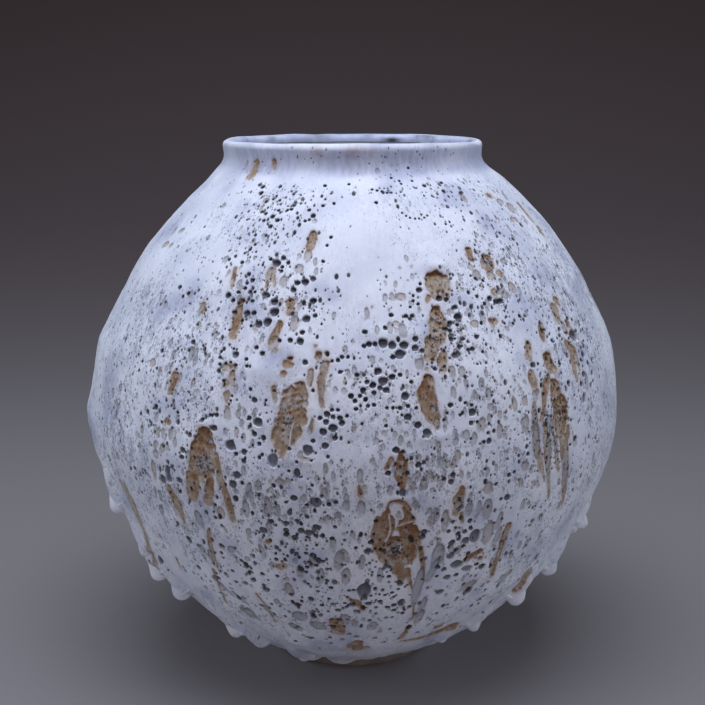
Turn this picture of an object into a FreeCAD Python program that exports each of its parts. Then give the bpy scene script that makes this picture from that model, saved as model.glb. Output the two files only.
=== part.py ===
import FreeCAD, Part
import math
import os

V = FreeCAD.Vector

# ---------------------------------------------------------------------------
# Moon jar: two thrown bowls luted rim to rim, a short thrown neck collar, a
# luted foot ring, and thick crater glaze outside with a thin glaze inside.
# Millimetres. +Z is up, the origin is the centre of the plane that the foot
# stands on, and the jar's axis is Z. The photographed front faces -Y.
# ---------------------------------------------------------------------------

# Driving dimensions
WAIST_Z = 226.0          # height of the seam between the two bowls
SEAM = 1.0               # thickness of every slip joint
SEAM_SLOPE = 2.0         # how far the waist joint face falls from outside to inside
SCORE_DEPTH = 0.9        # scored grooves in the joint faces
SCORE_WIDTH = 1.4
WALL = 9.0               # clay wall
COAT = 5.0               # crater glaze on the body, without its lumps
COAT_FOOT = 3.0          # glaze where it ends above the foot
COAT_NECK = 3.2          # glaze where the shoulder meets the neck
LINER = 1.0              # glaze inside
COLLAR_Z = 429.4         # ledge of the upper bowl that carries the collar
LINER_TOP_Z = 445.0      # the inside glaze meets the lip glaze here
FOOT_EDGE_R = 66.8       # outer edge of the resting face
FOOT_INNER_R = 55.0      # inner wall of the foot ring
FOOT_INNER_EDGE_R = 56.2  # inner edge of the resting face
FOOT_CHAMFER = 1.2
FOOT_TOP_Z = 10.5        # top of the foot ring, under its slip
FOOT_TOP_R = 70.28
SEAT_R = 70.5            # outer edge of the seat under the lower bowl
BOSS_R = 54.0            # boss under the lower bowl, inside the foot ring
BOSS_Z = 9.0             # underside of the base inside the foot
GLAZE_EDGE_Z = 8.4       # the glaze ends here, the foot below it is bare
FLOOR_Z = 20.0           # inside of the base

# Outer surface of the glaze on the body, from the foot to the shoulder (r, z)
BODY = [
    (72.0, 10.2), (84.6, 15.2), (97.7, 21.7), (111.4, 29.4), (124.3, 37.9),
    (151.1, 60.0), (175.3, 85.6), (196.6, 117.0), (213.7, 152.5),
    (225.0, 190.3), (229.7, 226.5), (224.6, 269.7), (211.6, 307.5),
    (192.7, 342.3), (170.2, 375.0), (146.2, 402.0), (125.6, 421.0),
    (116.5, 428.4),
]

# Outer surface of the neck and the rolled lip, carried on inside the mouth
NECK = [
    (116.5, 428.4), (112.9, 431.9), (110.6, 435.6), (109.6, 440.0),
    (109.9, 444.6), (110.3, 447.6), (109.2, 450.6), (106.2, 452.0),
    (102.8, 450.9), (100.9, 448.2), (100.6, 445.0),
]

# Clay of the shoulder's end, the collar and its lip, under the neck's glaze
NECK_CLAY = [
    (110.5, 429.2), (108.6, 432.4), (107.8, 436.4), (107.6, 441.0),
    (108.1, 445.0), (108.5, 447.6), (107.6, 449.7), (105.9, 450.4),
    (103.6, 449.7), (102.1, 447.8), (101.6, 445.0),
]

# Glaze runs that stand proud of the coat:
# azimuth in degrees from the front (-Y) towards +X, height of the bead's
# centre, bead radius, length of the run above it
DRIPS = [
    (-64.4, 161.0, 7.0, 26.0), (-61.4, 121.0, 6.0, 22.0),
    (-64.5, 97.0, 8.0, 30.0), (-54.7, 88.0, 8.0, 24.0),
    (-43.7, 54.0, 7.0, 24.0), (-37.2, 44.0, 8.0, 24.0),
    (-24.5, 24.0, 7.0, 22.0),
    (67.2, 141.0, 5.6, 14.0), (63.0, 103.0, 7.5, 22.0),
    (49.5, 90.0, 8.0, 26.0), (43.0, 60.0, 6.0, 18.0),
    (32.0, 52.0, 5.5, 16.0),
    (82.0, 118.0, 6.5, 24.0), (97.0, 150.0, 6.0, 20.0),
    (112.0, 92.0, 8.0, 28.0), (131.0, 128.0, 6.5, 22.0),
    (149.0, 78.0, 7.5, 26.0), (166.0, 112.0, 7.0, 26.0),
    (-174.0, 66.0, 7.5, 24.0), (-156.0, 139.0, 6.0, 20.0),
    (-139.0, 84.0, 8.0, 28.0), (-121.0, 106.0, 6.5, 22.0),
    (-104.0, 72.0, 7.5, 24.0), (-88.0, 132.0, 6.5, 24.0),
]


def curve(points):
    """Smooth spline through (r, z) points."""
    c = Part.BSplineCurve()
    c.interpolate([V(r, 0, z) for r, z in points])
    return c


def at_height(c, z, lo=None, hi=None):
    """Parameter where a curve that climbs between lo and hi passes height z."""
    a = c.FirstParameter if lo is None else lo
    b = c.LastParameter if hi is None else hi
    up = c.value(b).z > c.value(a).z
    for _ in range(60):
        m = 0.5 * (a + b)
        if (c.value(m).z < z) == up:
            a = m
        else:
            b = m
    return 0.5 * (a + b)


def cut(c, a, b):
    """Copy of the stretch of a curve between two parameters, as an edge."""
    k = c.copy()
    k.segment(a, b)
    return k.toShape()


def line(p, q):
    return Part.LineSegment(V(p[0], 0, p[1]), V(q[0], 0, q[1])).toShape()


def lines(points):
    return [line(p, q) for p, q in zip(points, points[1:])]


def rz(c, u):
    p = c.value(u)
    return (p.x, p.z)


def solid_of(edges):
    """Turn a closed outline in the r-z plane about the jar's axis."""
    wire = Part.Wire(Part.__sortEdges__(edges))
    face = Part.Face(wire)
    body = face.revolve(V(0, 0, 0), V(0, 0, 1), 360)
    s = body if body.ShapeType == "Solid" else Part.Solid(body.Shells[0])
    if s.Volume < 0:
        s.reverse()
    return s


def scored(p, q, side, places):
    """Joint face from p to q with V grooves; side is the way they are cut."""
    dr, dz = q[0] - p[0], q[1] - p[1]
    n = math.hypot(dr, dz)
    dr, dz = dr / n, dz / n
    nr, nz = -dz * side, dr * side
    pts = [p]
    for t in places:
        m = t * n
        pts.append((p[0] + dr * (m - SCORE_WIDTH / 2), p[1] + dz * (m - SCORE_WIDTH / 2)))
        pts.append((p[0] + dr * m + nr * SCORE_DEPTH, p[1] + dz * m + nz * SCORE_DEPTH))
        pts.append((p[0] + dr * (m + SCORE_WIDTH / 2), p[1] + dz * (m + SCORE_WIDTH / 2)))
    pts.append(q)
    return pts


def inward(c, u, depth):
    """Point at a depth under the outer surface, square to it."""
    t = c.tangent(u)[0]
    p = c.value(u)
    return (p.x - t.z * depth, p.z + t.x * depth)


# --- master curves ---------------------------------------------------------
body = curve(BODY)
neck = curve(NECK)
params = [body.parameter(V(r, 0, z)) for r, z in BODY]


def coat_at(i):
    if i == 0:
        return COAT_FOOT
    if i == 1:
        return 4.2
    if i == len(BODY) - 1:
        return COAT_NECK
    if i == len(BODY) - 2:
        return 4.2
    return COAT


clay_pts = [(SEAT_R, 11.5)]
clay_pts += [inward(body, params[i], coat_at(i)) for i in range(1, len(BODY))]
clay_pts += NECK_CLAY
clay = curve(clay_pts)

liner_clay_pts = [(0.0, FLOOR_Z), (24.0, FLOOR_Z + 0.2), (47.0, FLOOR_Z + 1.2), (67.0, FLOOR_Z + 4.4)]
liner_clay_pts += [inward(body, params[i], COAT + WALL) for i in range(2, len(BODY) - 1)]
liner_clay_pts += [(108.0, 417.2), (103.7, 423.4), (102.0, 429.0), (101.6, 436.0), (101.6, LINER_TOP_Z)]
inner = curve(liner_clay_pts)

n_in = [inner.parameter(V(r, 0, z)) for r, z in liner_clay_pts]


def into_mouth(u):
    t = inner.tangent(u)[0]
    p = inner.value(u)
    return (p.x - t.z * LINER, p.z + t.x * LINER)


liner_pts = [(0.0, FLOOR_Z + LINER)] + [into_mouth(u) for u in n_in[1:-1]] + [(100.6, LINER_TOP_Z)]
liner = curve(liner_pts)

# --- where the curves are cut ------------------------------------------------
# outer clay curve: climbs all the way to the lip, then turns down inside
top_u = clay.parameter(V(105.9, 0, 450.4))
c_lo = at_height(clay, WAIST_Z, None, top_u)
c_mid = at_height(clay, WAIST_Z + SEAM / 2, None, top_u)
c_hi = at_height(clay, WAIST_Z + SEAM, None, top_u)
c_ledge = at_height(clay, COLLAR_Z, None, top_u)
c_collar = at_height(clay, COLLAR_Z + SEAM, None, top_u)
c_shoulder = clay.parameter(V(clay_pts[len(BODY) - 1][0], 0, clay_pts[len(BODY) - 1][1]))
c0, c1 = clay.FirstParameter, clay.LastParameter
# inner clay curve
i_lo = at_height(inner, WAIST_Z - SEAM_SLOPE)
i_hi = at_height(inner, WAIST_Z - SEAM_SLOPE + SEAM)
i_ledge = at_height(inner, COLLAR_Z)
i_collar = at_height(inner, COLLAR_Z + SEAM)
i0, i1 = inner.FirstParameter, inner.LastParameter
# glaze surface
b_mid = at_height(body, WAIST_Z + SEAM / 2)
b0, b1 = body.FirstParameter, body.LastParameter

# --- joint faces -------------------------------------------------------------
w_low = scored(rz(clay, c_lo), rz(inner, i_lo), 1, (0.3, 0.7))      # cut down into the lower bowl
w_high = scored(rz(clay, c_hi), rz(inner, i_hi), -1, (0.3, 0.7))    # cut up into the upper bowl
# the collar's tongue sits in a groove of the shoulder's ledge
L_O, L_I = rz(clay, c_ledge), rz(inner, i_ledge)
K_O, K_I = rz(clay, c_collar), rz(inner, i_collar)
ledge = [L_O, (107.2, COLLAR_Z), (107.2, COLLAR_Z - 2.0), (104.4, COLLAR_Z - 2.0), (104.4, COLLAR_Z), L_I]
collar_foot = [K_O, (106.6, COLLAR_Z + SEAM), (106.6, COLLAR_Z - 1.2), (105.0, COLLAR_Z - 1.2), (105.0, COLLAR_Z + SEAM), K_I]
# seat of the foot ring under the lower bowl, and the ring's own top
seat = scored((SEAT_R, FOOT_TOP_Z + SEAM), (BOSS_R, FOOT_TOP_Z + SEAM), -1, (0.3, 0.62))
ring_top = scored((FOOT_TOP_R, FOOT_TOP_Z), (FOOT_INNER_R, FOOT_TOP_Z), 1, (0.3, 0.62))


def side_at(z):
    """Outer side of the foot ring, a straight cone."""
    r0, z0 = FOOT_EDGE_R + FOOT_CHAMFER + 0.2, FOOT_CHAMFER
    return r0 + (SEAT_R - r0) * (z - z0) / (FOOT_TOP_Z + SEAM - z0)


FOOT_TOP_PT = (FOOT_TOP_R, FOOT_TOP_Z)
FOOT_SIDE_LOW = (side_at(FOOT_CHAMFER), FOOT_CHAMFER)
FOOT_SIDE_EDGE = (FOOT_SIDE_LOW[0] + (FOOT_TOP_R - FOOT_SIDE_LOW[0]) * (GLAZE_EDGE_Z - FOOT_CHAMFER) / (FOOT_TOP_Z - FOOT_CHAMFER), GLAZE_EDGE_Z)

nodes = {}

# --- foot --------------------------------------------------------------------
nodes["foot_ring"] = solid_of(
    lines([
        (FOOT_INNER_EDGE_R, 0.0), (FOOT_EDGE_R, 0.0), FOOT_SIDE_LOW, FOOT_SIDE_EDGE, FOOT_TOP_PT,
    ])
    + lines(ring_top)
    + lines([(FOOT_INNER_R, FOOT_TOP_Z), (FOOT_INNER_R, FOOT_CHAMFER), (FOOT_INNER_EDGE_R, 0.0)])
)

nodes["foot_slip"] = solid_of(
    lines(ring_top)
    + lines([(FOOT_INNER_R, FOOT_TOP_Z), (FOOT_INNER_R, BOSS_Z), (BOSS_R, BOSS_Z), (BOSS_R, FOOT_TOP_Z + SEAM)])
    + lines(seat)
    + lines([(SEAT_R, FOOT_TOP_Z + SEAM), FOOT_TOP_PT])
)

# --- bowls -------------------------------------------------------------------
nodes["lower_bowl"] = solid_of(
    [cut(clay, c0, c_lo)]
    + lines(w_low)
    + [cut(inner, i0, i_lo)]
    + lines([(0.0, FLOOR_Z), (0.0, BOSS_Z), (BOSS_R, BOSS_Z), (BOSS_R, FOOT_TOP_Z + SEAM)])
    + lines(seat)
)

nodes["waist_slip"] = solid_of(
    [cut(clay, c_lo, c_mid), cut(clay, c_mid, c_hi)] + lines(w_high) + [cut(inner, i_lo, i_hi)] + lines(w_low)
)

nodes["upper_bowl"] = solid_of(
    [cut(clay, c_hi, c_shoulder), cut(clay, c_shoulder, c_ledge)]
    + lines(ledge)
    + [cut(inner, i_hi, i_ledge)]
    + lines(w_high)
)

# --- neck --------------------------------------------------------------------
nodes["neck_slip"] = solid_of(
    [cut(clay, c_ledge, c_collar)] + lines(collar_foot) + [cut(inner, i_ledge, i_collar)] + lines(ledge)
)

nodes["neck_collar"] = solid_of(
    [cut(clay, c_collar, c1)] + [cut(inner, i_collar, i1)] + lines(collar_foot)
)

# --- glaze -------------------------------------------------------------------
nodes["inner_glaze"] = solid_of(
    [cut(inner, i0, i_lo), cut(inner, i_lo, i_hi), cut(inner, i_hi, i_ledge), cut(inner, i_ledge, i_collar), cut(inner, i_collar, i1)]
    + [line(rz(inner, i1), rz(liner, liner.LastParameter))]
    + [liner.toShape()]
    + [line((0.0, FLOOR_Z + LINER), (0.0, FLOOR_Z))]
)

nodes["neck_glaze"] = solid_of(
    [neck.toShape()]
    + [line(rz(neck, neck.LastParameter), rz(clay, c1))]
    + [cut(clay, c_shoulder, c_ledge), cut(clay, c_ledge, c_collar), cut(clay, c_collar, c1)]
    + [line(rz(clay, c_shoulder), BODY[-1])]
)

nodes["upper_glaze"] = solid_of(
    [cut(body, b_mid, b1)]
    + [line(BODY[-1], rz(clay, c_shoulder))]
    + [cut(clay, c_mid, c_hi), cut(clay, c_hi, c_shoulder)]
    + [line(rz(clay, c_mid), rz(body, b_mid))]
)

nodes["lower_glaze"] = solid_of(
    [cut(body, b0, b_mid)]
    + [line(rz(body, b_mid), rz(clay, c_mid))]
    + [cut(clay, c0, c_lo), cut(clay, c_lo, c_mid)]
    + lines([(SEAT_R, FOOT_TOP_Z + SEAM), FOOT_TOP_PT, FOOT_SIDE_EDGE])
    + [Part.Arc(V(*[FOOT_SIDE_EDGE[0], 0, FOOT_SIDE_EDGE[1]]), V(71.35, 0, 8.75), V(BODY[0][0], 0, BODY[0][1])).toShape()]
)

# --- runs of glaze that hang from the coat -----------------------------------
envelope = solid_of([body.toShape(), line(BODY[-1], (0.0, BODY[-1][1])), line((0.0, BODY[-1][1]), (0.0, BODY[0][1])), line((0.0, BODY[0][1]), BODY[0])])
runs = []
for azimuth, z, r, length in DRIPS:
    u = at_height(body, z)
    t = body.tangent(u)[0]
    p = body.value(u)
    # teardrop about its own axis: pointed top, round bead below
    drop_pts = [V(0, 0, length), V(0.34 * r, 0, 0.72 * length), V(0.62 * r, 0, 0.42 * length), V(0.93 * r, 0, 0.14 * length),
                V(r, 0, -0.08 * r), V(0.72 * r, 0, -0.72 * r), V(0, 0, -r)]
    sp = Part.BSplineCurve()
    sp.interpolate(Points=drop_pts, InitialTangent=V(0.3, 0, -1), FinalTangent=V(-1, 0, 0))
    face = Part.Face(Part.Wire([sp.toShape(), Part.LineSegment(drop_pts[-1], drop_pts[0]).toShape()]))
    tear = face.revolve(V(0, 0, 0), V(0, 0, 1), 360)
    if tear.ShapeType != "Solid":
        tear = Part.Solid(tear.Shells[0])
    if tear.Volume < 0:
        tear.reverse()
    # its axis follows the surface downwards, leaning in at the top
    lean = math.atan2(0.55 * r, length)
    ax_r, ax_z = t.x, t.z
    c_, s_ = math.cos(lean), math.sin(lean)
    up_r, up_z = ax_r * c_ - ax_z * s_, ax_z * c_ + ax_r * s_
    tilt = math.degrees(math.atan2(up_r, up_z))
    tear.rotate(V(0, 0, 0), V(0, 1, 0), tilt)
    tear.translate(V(p.x + t.z * 0.12 * r, 0, p.z - t.x * 0.12 * r))
    tear.rotate(V(0, 0, 0), V(0, 0, 1), azimuth - 90.0)
    proud = tear.cut(envelope)
    runs.append(max(proud.Solids, key=lambda q: q.Volume))
nodes["glaze_drips"] = Part.makeCompound(runs)

os.makedirs("parts", exist_ok=True)
for name, shape in nodes.items():
    shape.exportStep("parts/%s.step" % name)
    b = shape.BoundBox
    print("%-12s solids %d valid %s volume %.1f cm3  x %.1f..%.1f y %.1f..%.1f z %.2f..%.2f" % (
        name, len(shape.Solids), shape.isValid(), shape.Volume / 1000.0, b.XMin, b.XMax, b.YMin, b.YMax, b.ZMin, b.ZMax))
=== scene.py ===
import math
import bpy
import numpy as np
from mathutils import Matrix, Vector


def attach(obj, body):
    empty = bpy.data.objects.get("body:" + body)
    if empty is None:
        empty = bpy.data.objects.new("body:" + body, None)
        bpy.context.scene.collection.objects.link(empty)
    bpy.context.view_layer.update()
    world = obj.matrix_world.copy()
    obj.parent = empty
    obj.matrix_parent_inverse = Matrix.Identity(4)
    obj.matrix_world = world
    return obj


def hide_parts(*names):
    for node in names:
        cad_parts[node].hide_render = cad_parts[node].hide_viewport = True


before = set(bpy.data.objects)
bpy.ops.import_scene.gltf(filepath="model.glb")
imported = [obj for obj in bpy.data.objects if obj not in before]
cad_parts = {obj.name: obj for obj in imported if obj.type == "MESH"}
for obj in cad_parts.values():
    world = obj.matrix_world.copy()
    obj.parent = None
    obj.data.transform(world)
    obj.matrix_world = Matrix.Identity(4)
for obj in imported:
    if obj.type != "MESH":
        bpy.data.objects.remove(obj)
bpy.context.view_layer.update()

# ---------------------------------------------------------------------------
# Camera: the viewing angle of the photograph, 705 x 705
# ---------------------------------------------------------------------------
CAM_D, CAM_H, CAM_TILT, CAM_F = 1.1, 0.503, math.radians(12.16), 1275.0
cam_data = bpy.data.cameras.new("view_camera")
cam_data.sensor_fit = "HORIZONTAL"
cam_data.sensor_width = 36.0
cam_data.lens = 36.0 * CAM_F / 705.0
cam_data.clip_start = 0.01
cam_data.clip_end = 50.0
cam = bpy.data.objects.new("view_camera", cam_data)
cam.location = (0.0, -CAM_D, CAM_H)
cam.rotation_euler = (math.pi / 2 - CAM_TILT, 0.0, 0.0)
bpy.context.scene.collection.objects.link(cam)
bpy.context.scene.camera = cam

# ---------------------------------------------------------------------------
# Profile of the glazed outside, from the foot to the inside of the lip (r, z)
# ---------------------------------------------------------------------------
BODY = [
    (72.0, 10.2), (84.6, 15.2), (97.7, 21.7), (111.4, 29.4), (124.3, 37.9),
    (151.1, 60.0), (175.3, 85.6), (196.6, 117.0), (213.7, 152.5),
    (225.0, 190.3), (229.7, 226.5), (224.6, 269.7), (211.6, 307.5),
    (192.7, 342.3), (170.2, 375.0), (146.2, 402.0), (125.6, 421.0),
    (116.5, 428.4),
]
NECK = [
    (116.5, 428.4), (112.9, 431.9), (110.6, 435.6), (109.6, 440.0),
    (109.9, 444.6), (110.3, 447.6), (109.2, 450.6), (106.2, 452.0),
    (102.8, 450.9), (100.9, 448.2), (100.6, 445.0),
]
LINER = [
    (0.0, 21.0), (24.0, 21.2), (47.0, 22.2), (67.0, 25.4),
]


class Spline:
    """Natural cubic spline through points, by chord length."""

    def __init__(self, points):
        self.p = np.array(points, dtype=float)
        d = np.hypot(*(self.p[1:] - self.p[:-1]).T)
        self.t = np.concatenate([[0.0], np.cumsum(d)])
        n = len(self.t)
        h = d
        A = np.zeros((n, n))
        b = np.zeros((n, 2))
        A[0, 0] = A[-1, -1] = 1.0
        for i in range(1, n - 1):
            A[i, i - 1] = h[i - 1]
            A[i, i] = 2 * (h[i - 1] + h[i])
            A[i, i + 1] = h[i]
            b[i] = 6 * ((self.p[i + 1] - self.p[i]) / h[i] - (self.p[i] - self.p[i - 1]) / h[i - 1])
        self.m = np.linalg.solve(A, b)

    def at(self, s):
        s = np.asarray(s, dtype=float)
        i = np.clip(np.searchsorted(self.t, s) - 1, 0, len(self.t) - 2)
        h = self.t[i + 1] - self.t[i]
        u = (self.t[i + 1] - s)[..., None]
        v = (s - self.t[i])[..., None]
        h = h[..., None]
        a, b = self.p[i], self.p[i + 1]
        ma, mb = self.m[i], self.m[i + 1]
        val = ma * u ** 3 / (6 * h) + mb * v ** 3 / (6 * h) + (a / h - ma * h / 6) * u + (b / h - mb * h / 6) * v
        der = -ma * u ** 2 / (2 * h) + mb * v ** 2 / (2 * h) - (a / h - ma * h / 6) + (b / h - mb * h / 6)
        return val, der


profile = Spline(BODY + NECK[1:])
S_ALL = profile.t[-1]
S_BODY = profile.t[len(BODY) - 1]
_ss = np.linspace(0, S_BODY, 20001)
S_WAIST = float(_ss[np.argmin(np.abs(profile.at(_ss)[0][:, 1] - 226.5))])

NU, NV, BLK = 4096, 1536, 128
ROW_WAIST, ROW_NECK = 768, 1408
ROW_S = np.concatenate([
    np.linspace(0, S_WAIST, ROW_WAIST + 1),
    np.linspace(S_WAIST, S_BODY, ROW_NECK - ROW_WAIST + 1)[1:],
    np.linspace(S_BODY, S_ALL, NV - ROW_NECK + 1)[1:],
])
_val, _der = profile.at(ROW_S)
ROW_R, ROW_Z = _val[:, 0], _val[:, 1]
_l = np.hypot(_der[:, 0], _der[:, 1])
ROW_TR, ROW_TZ = _der[:, 0] / _l, _der[:, 1] / _l      # upward tangent
ROW_NR, ROW_NZ = ROW_TZ, -ROW_TR                       # outward normal
COL_A = -math.pi + 2 * math.pi * np.arange(NU) / NU
SIN_A, COS_A = np.sin(COL_A), np.cos(COL_A)


# ---------------------------------------------------------------------------
# From a point of the photograph's frame to azimuth and height on the jar
# ---------------------------------------------------------------------------
def project(p):
    x, y, z = p[..., 0], p[..., 1], p[..., 2]
    ct, st = math.cos(CAM_TILT), math.sin(CAM_TILT)
    dep = (y + CAM_D) * ct - (z - CAM_H) * st
    up = (y + CAM_D) * st + (z - CAM_H) * ct
    return np.stack([352.5 + CAM_F * x / dep, 352.5 - CAM_F * up / dep], -1), dep


_zt = ROW_Z[:ROW_NECK + 80] / 1000.0
_rt = ROW_R[:ROW_NECK + 80] / 1000.0


def radius_at(z):
    return np.interp(z, _zt, _rt, left=0.0, right=0.0)


def pick(px, py):
    """Azimuth, arc length (mm) and pixels per mm across and along, for photo points."""
    px, py = np.atleast_1d(np.asarray(px, float)), np.atleast_1d(np.asarray(py, float))
    ct, st = math.cos(CAM_TILT), math.sin(CAM_TILT)
    right = (px - 352.5) / CAM_F
    up = -(py - 352.5) / CAM_F
    d = np.stack([right, ct + up * st, -st + up * ct], -1)
    t = np.linspace(0.8, 1.35, 1101)
    q = np.array([0.0, -CAM_D, CAM_H]) + d[:, None, :] * t[None, :, None]
    gap = np.hypot(q[..., 0], q[..., 1]) - radius_at(q[..., 2])
    inside = gap < 0
    hit = inside.any(1)
    k = np.where(hit, inside.argmax(1), gap[:, :].argmin(1))
    q = q[np.arange(len(px)), k]
    a = np.arctan2(q[:, 0], -q[:, 1])
    s = np.interp(q[:, 2], _zt, ROW_S[:len(_zt)])
    val, der = profile.at(s)
    ln = np.hypot(der[:, 0], der[:, 1])
    P = np.stack([val[:, 0] * np.sin(a), -val[:, 0] * np.cos(a), val[:, 1]], -1) / 1000.0
    eu = np.stack([np.cos(a), np.sin(a), 0 * a], -1)
    ev = np.stack([der[:, 0] / ln * np.sin(a), -der[:, 0] / ln * np.cos(a), der[:, 1] / ln], -1)
    p0, _ = project(P)
    pu, _ = project(P + eu * 0.001)
    pv, _ = project(P + ev * 0.001)
    ju = np.hypot(*(pu - p0).T)
    jv = np.hypot(*(pv - p0).T)
    return a, s, ju, jv


# ---------------------------------------------------------------------------
# Smooth random fields on the jar's surface
# ---------------------------------------------------------------------------
_rng0 = np.random.default_rng(7)
_G = _rng0.standard_normal((256, 3)).astype(np.float32)
_G /= np.linalg.norm(_G, axis=1)[:, None]


def gradient_noise(x, y, z, seed):
    perm = np.random.default_rng(seed).permutation(256).astype(np.int32)
    xf, yf, zf = np.floor(x), np.floor(y), np.floor(z)
    xi, yi, zi = xf.astype(np.int32), yf.astype(np.int32), zf.astype(np.int32)
    fx, fy, fz = (x - xf).astype(np.float32), (y - yf).astype(np.float32), (z - zf).astype(np.float32)
    wx = fx * fx * fx * (fx * (fx * 6 - 15) + 10)
    wy = fy * fy * fy * (fy * (fy * 6 - 15) + 10)
    wz = fz * fz * fz * (fz * (fz * 6 - 15) + 10)
    out = np.zeros(fx.shape, np.float32)
    for dx in (0, 1):
        hx = perm[(xi + dx) & 255]
        ax = wx if dx else 1 - wx
        for dy in (0, 1):
            hy = perm[(hx + yi + dy) & 255]
            ay = wy if dy else 1 - wy
            for dz in (0, 1):
                g = _G[perm[(hy + zi + dz) & 255]]
                az = wz if dz else 1 - wz
                out += ax * ay * az * (g[..., 0] * (fx - dx) + g[..., 1] * (fy - dy) + g[..., 2] * (fz - dz))
    return out * 1.5


def catmull(t):
    return (-0.5 * t + t * t - 0.5 * t ** 3, 1 - 2.5 * t * t + 1.5 * t ** 3,
            0.5 * t + 2 * t * t - 1.5 * t ** 3, -0.5 * t * t + 0.5 * t ** 3)


def enlarge(f, k):
    r = f.shape[0]
    fp = np.concatenate([f[:1], f, f[-1:]], 0)
    out = np.empty(((r - 1) * k + 1, f.shape[1]), np.float32)
    for t in range(k):
        w = catmull(t / k)
        out[t:-1:k] = w[0] * fp[0:r - 1] + w[1] * fp[1:r] + w[2] * fp[2:r + 1] + w[3] * fp[3:r + 2]
    out[-1] = f[-1]
    res = np.empty((out.shape[0], f.shape[1] * k), np.float32)
    f0, f2, f3 = np.roll(out, 1, 1), np.roll(out, -1, 1), np.roll(out, -2, 1)
    for t in range(k):
        w = catmull(t / k)
        res[:, t::k] = w[0] * f0 + w[1] * out + w[2] * f2 + w[3] * f3
    return res


def field(size, seed, k=4, octaves=1, along=1.0):
    """Noise with features of about size mm; along > 1 stretches it up and down the jar."""
    r, z, s = ROW_R[::k, None], ROW_Z[::k, None], ROW_S[::k, None]
    sa, ca = SIN_A[None, ::k], COS_A[None, ::k]
    if along == 1.0:
        x, y, w = r * sa, r * ca, z + 0 * sa
    else:
        rr = 110.0 + 0.5 * r
        x, y, w = rr * sa, rr * ca, s / along + 0 * sa
    f = 0
    amp, tot = 1.0, 0.0
    for o in range(octaves):
        q = 2.0 ** o / size
        f = f + amp * gradient_noise(x * q + 31.7, y * q + 17.3, w * q + 5.1, seed + o)
        tot += amp
        amp *= 0.5
    return enlarge(f / tot, k)


def sstep(x, lo, hi):
    t = np.clip((x - lo) / (hi - lo), 0, 1)
    return t * t * (3 - 2 * t)


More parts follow.
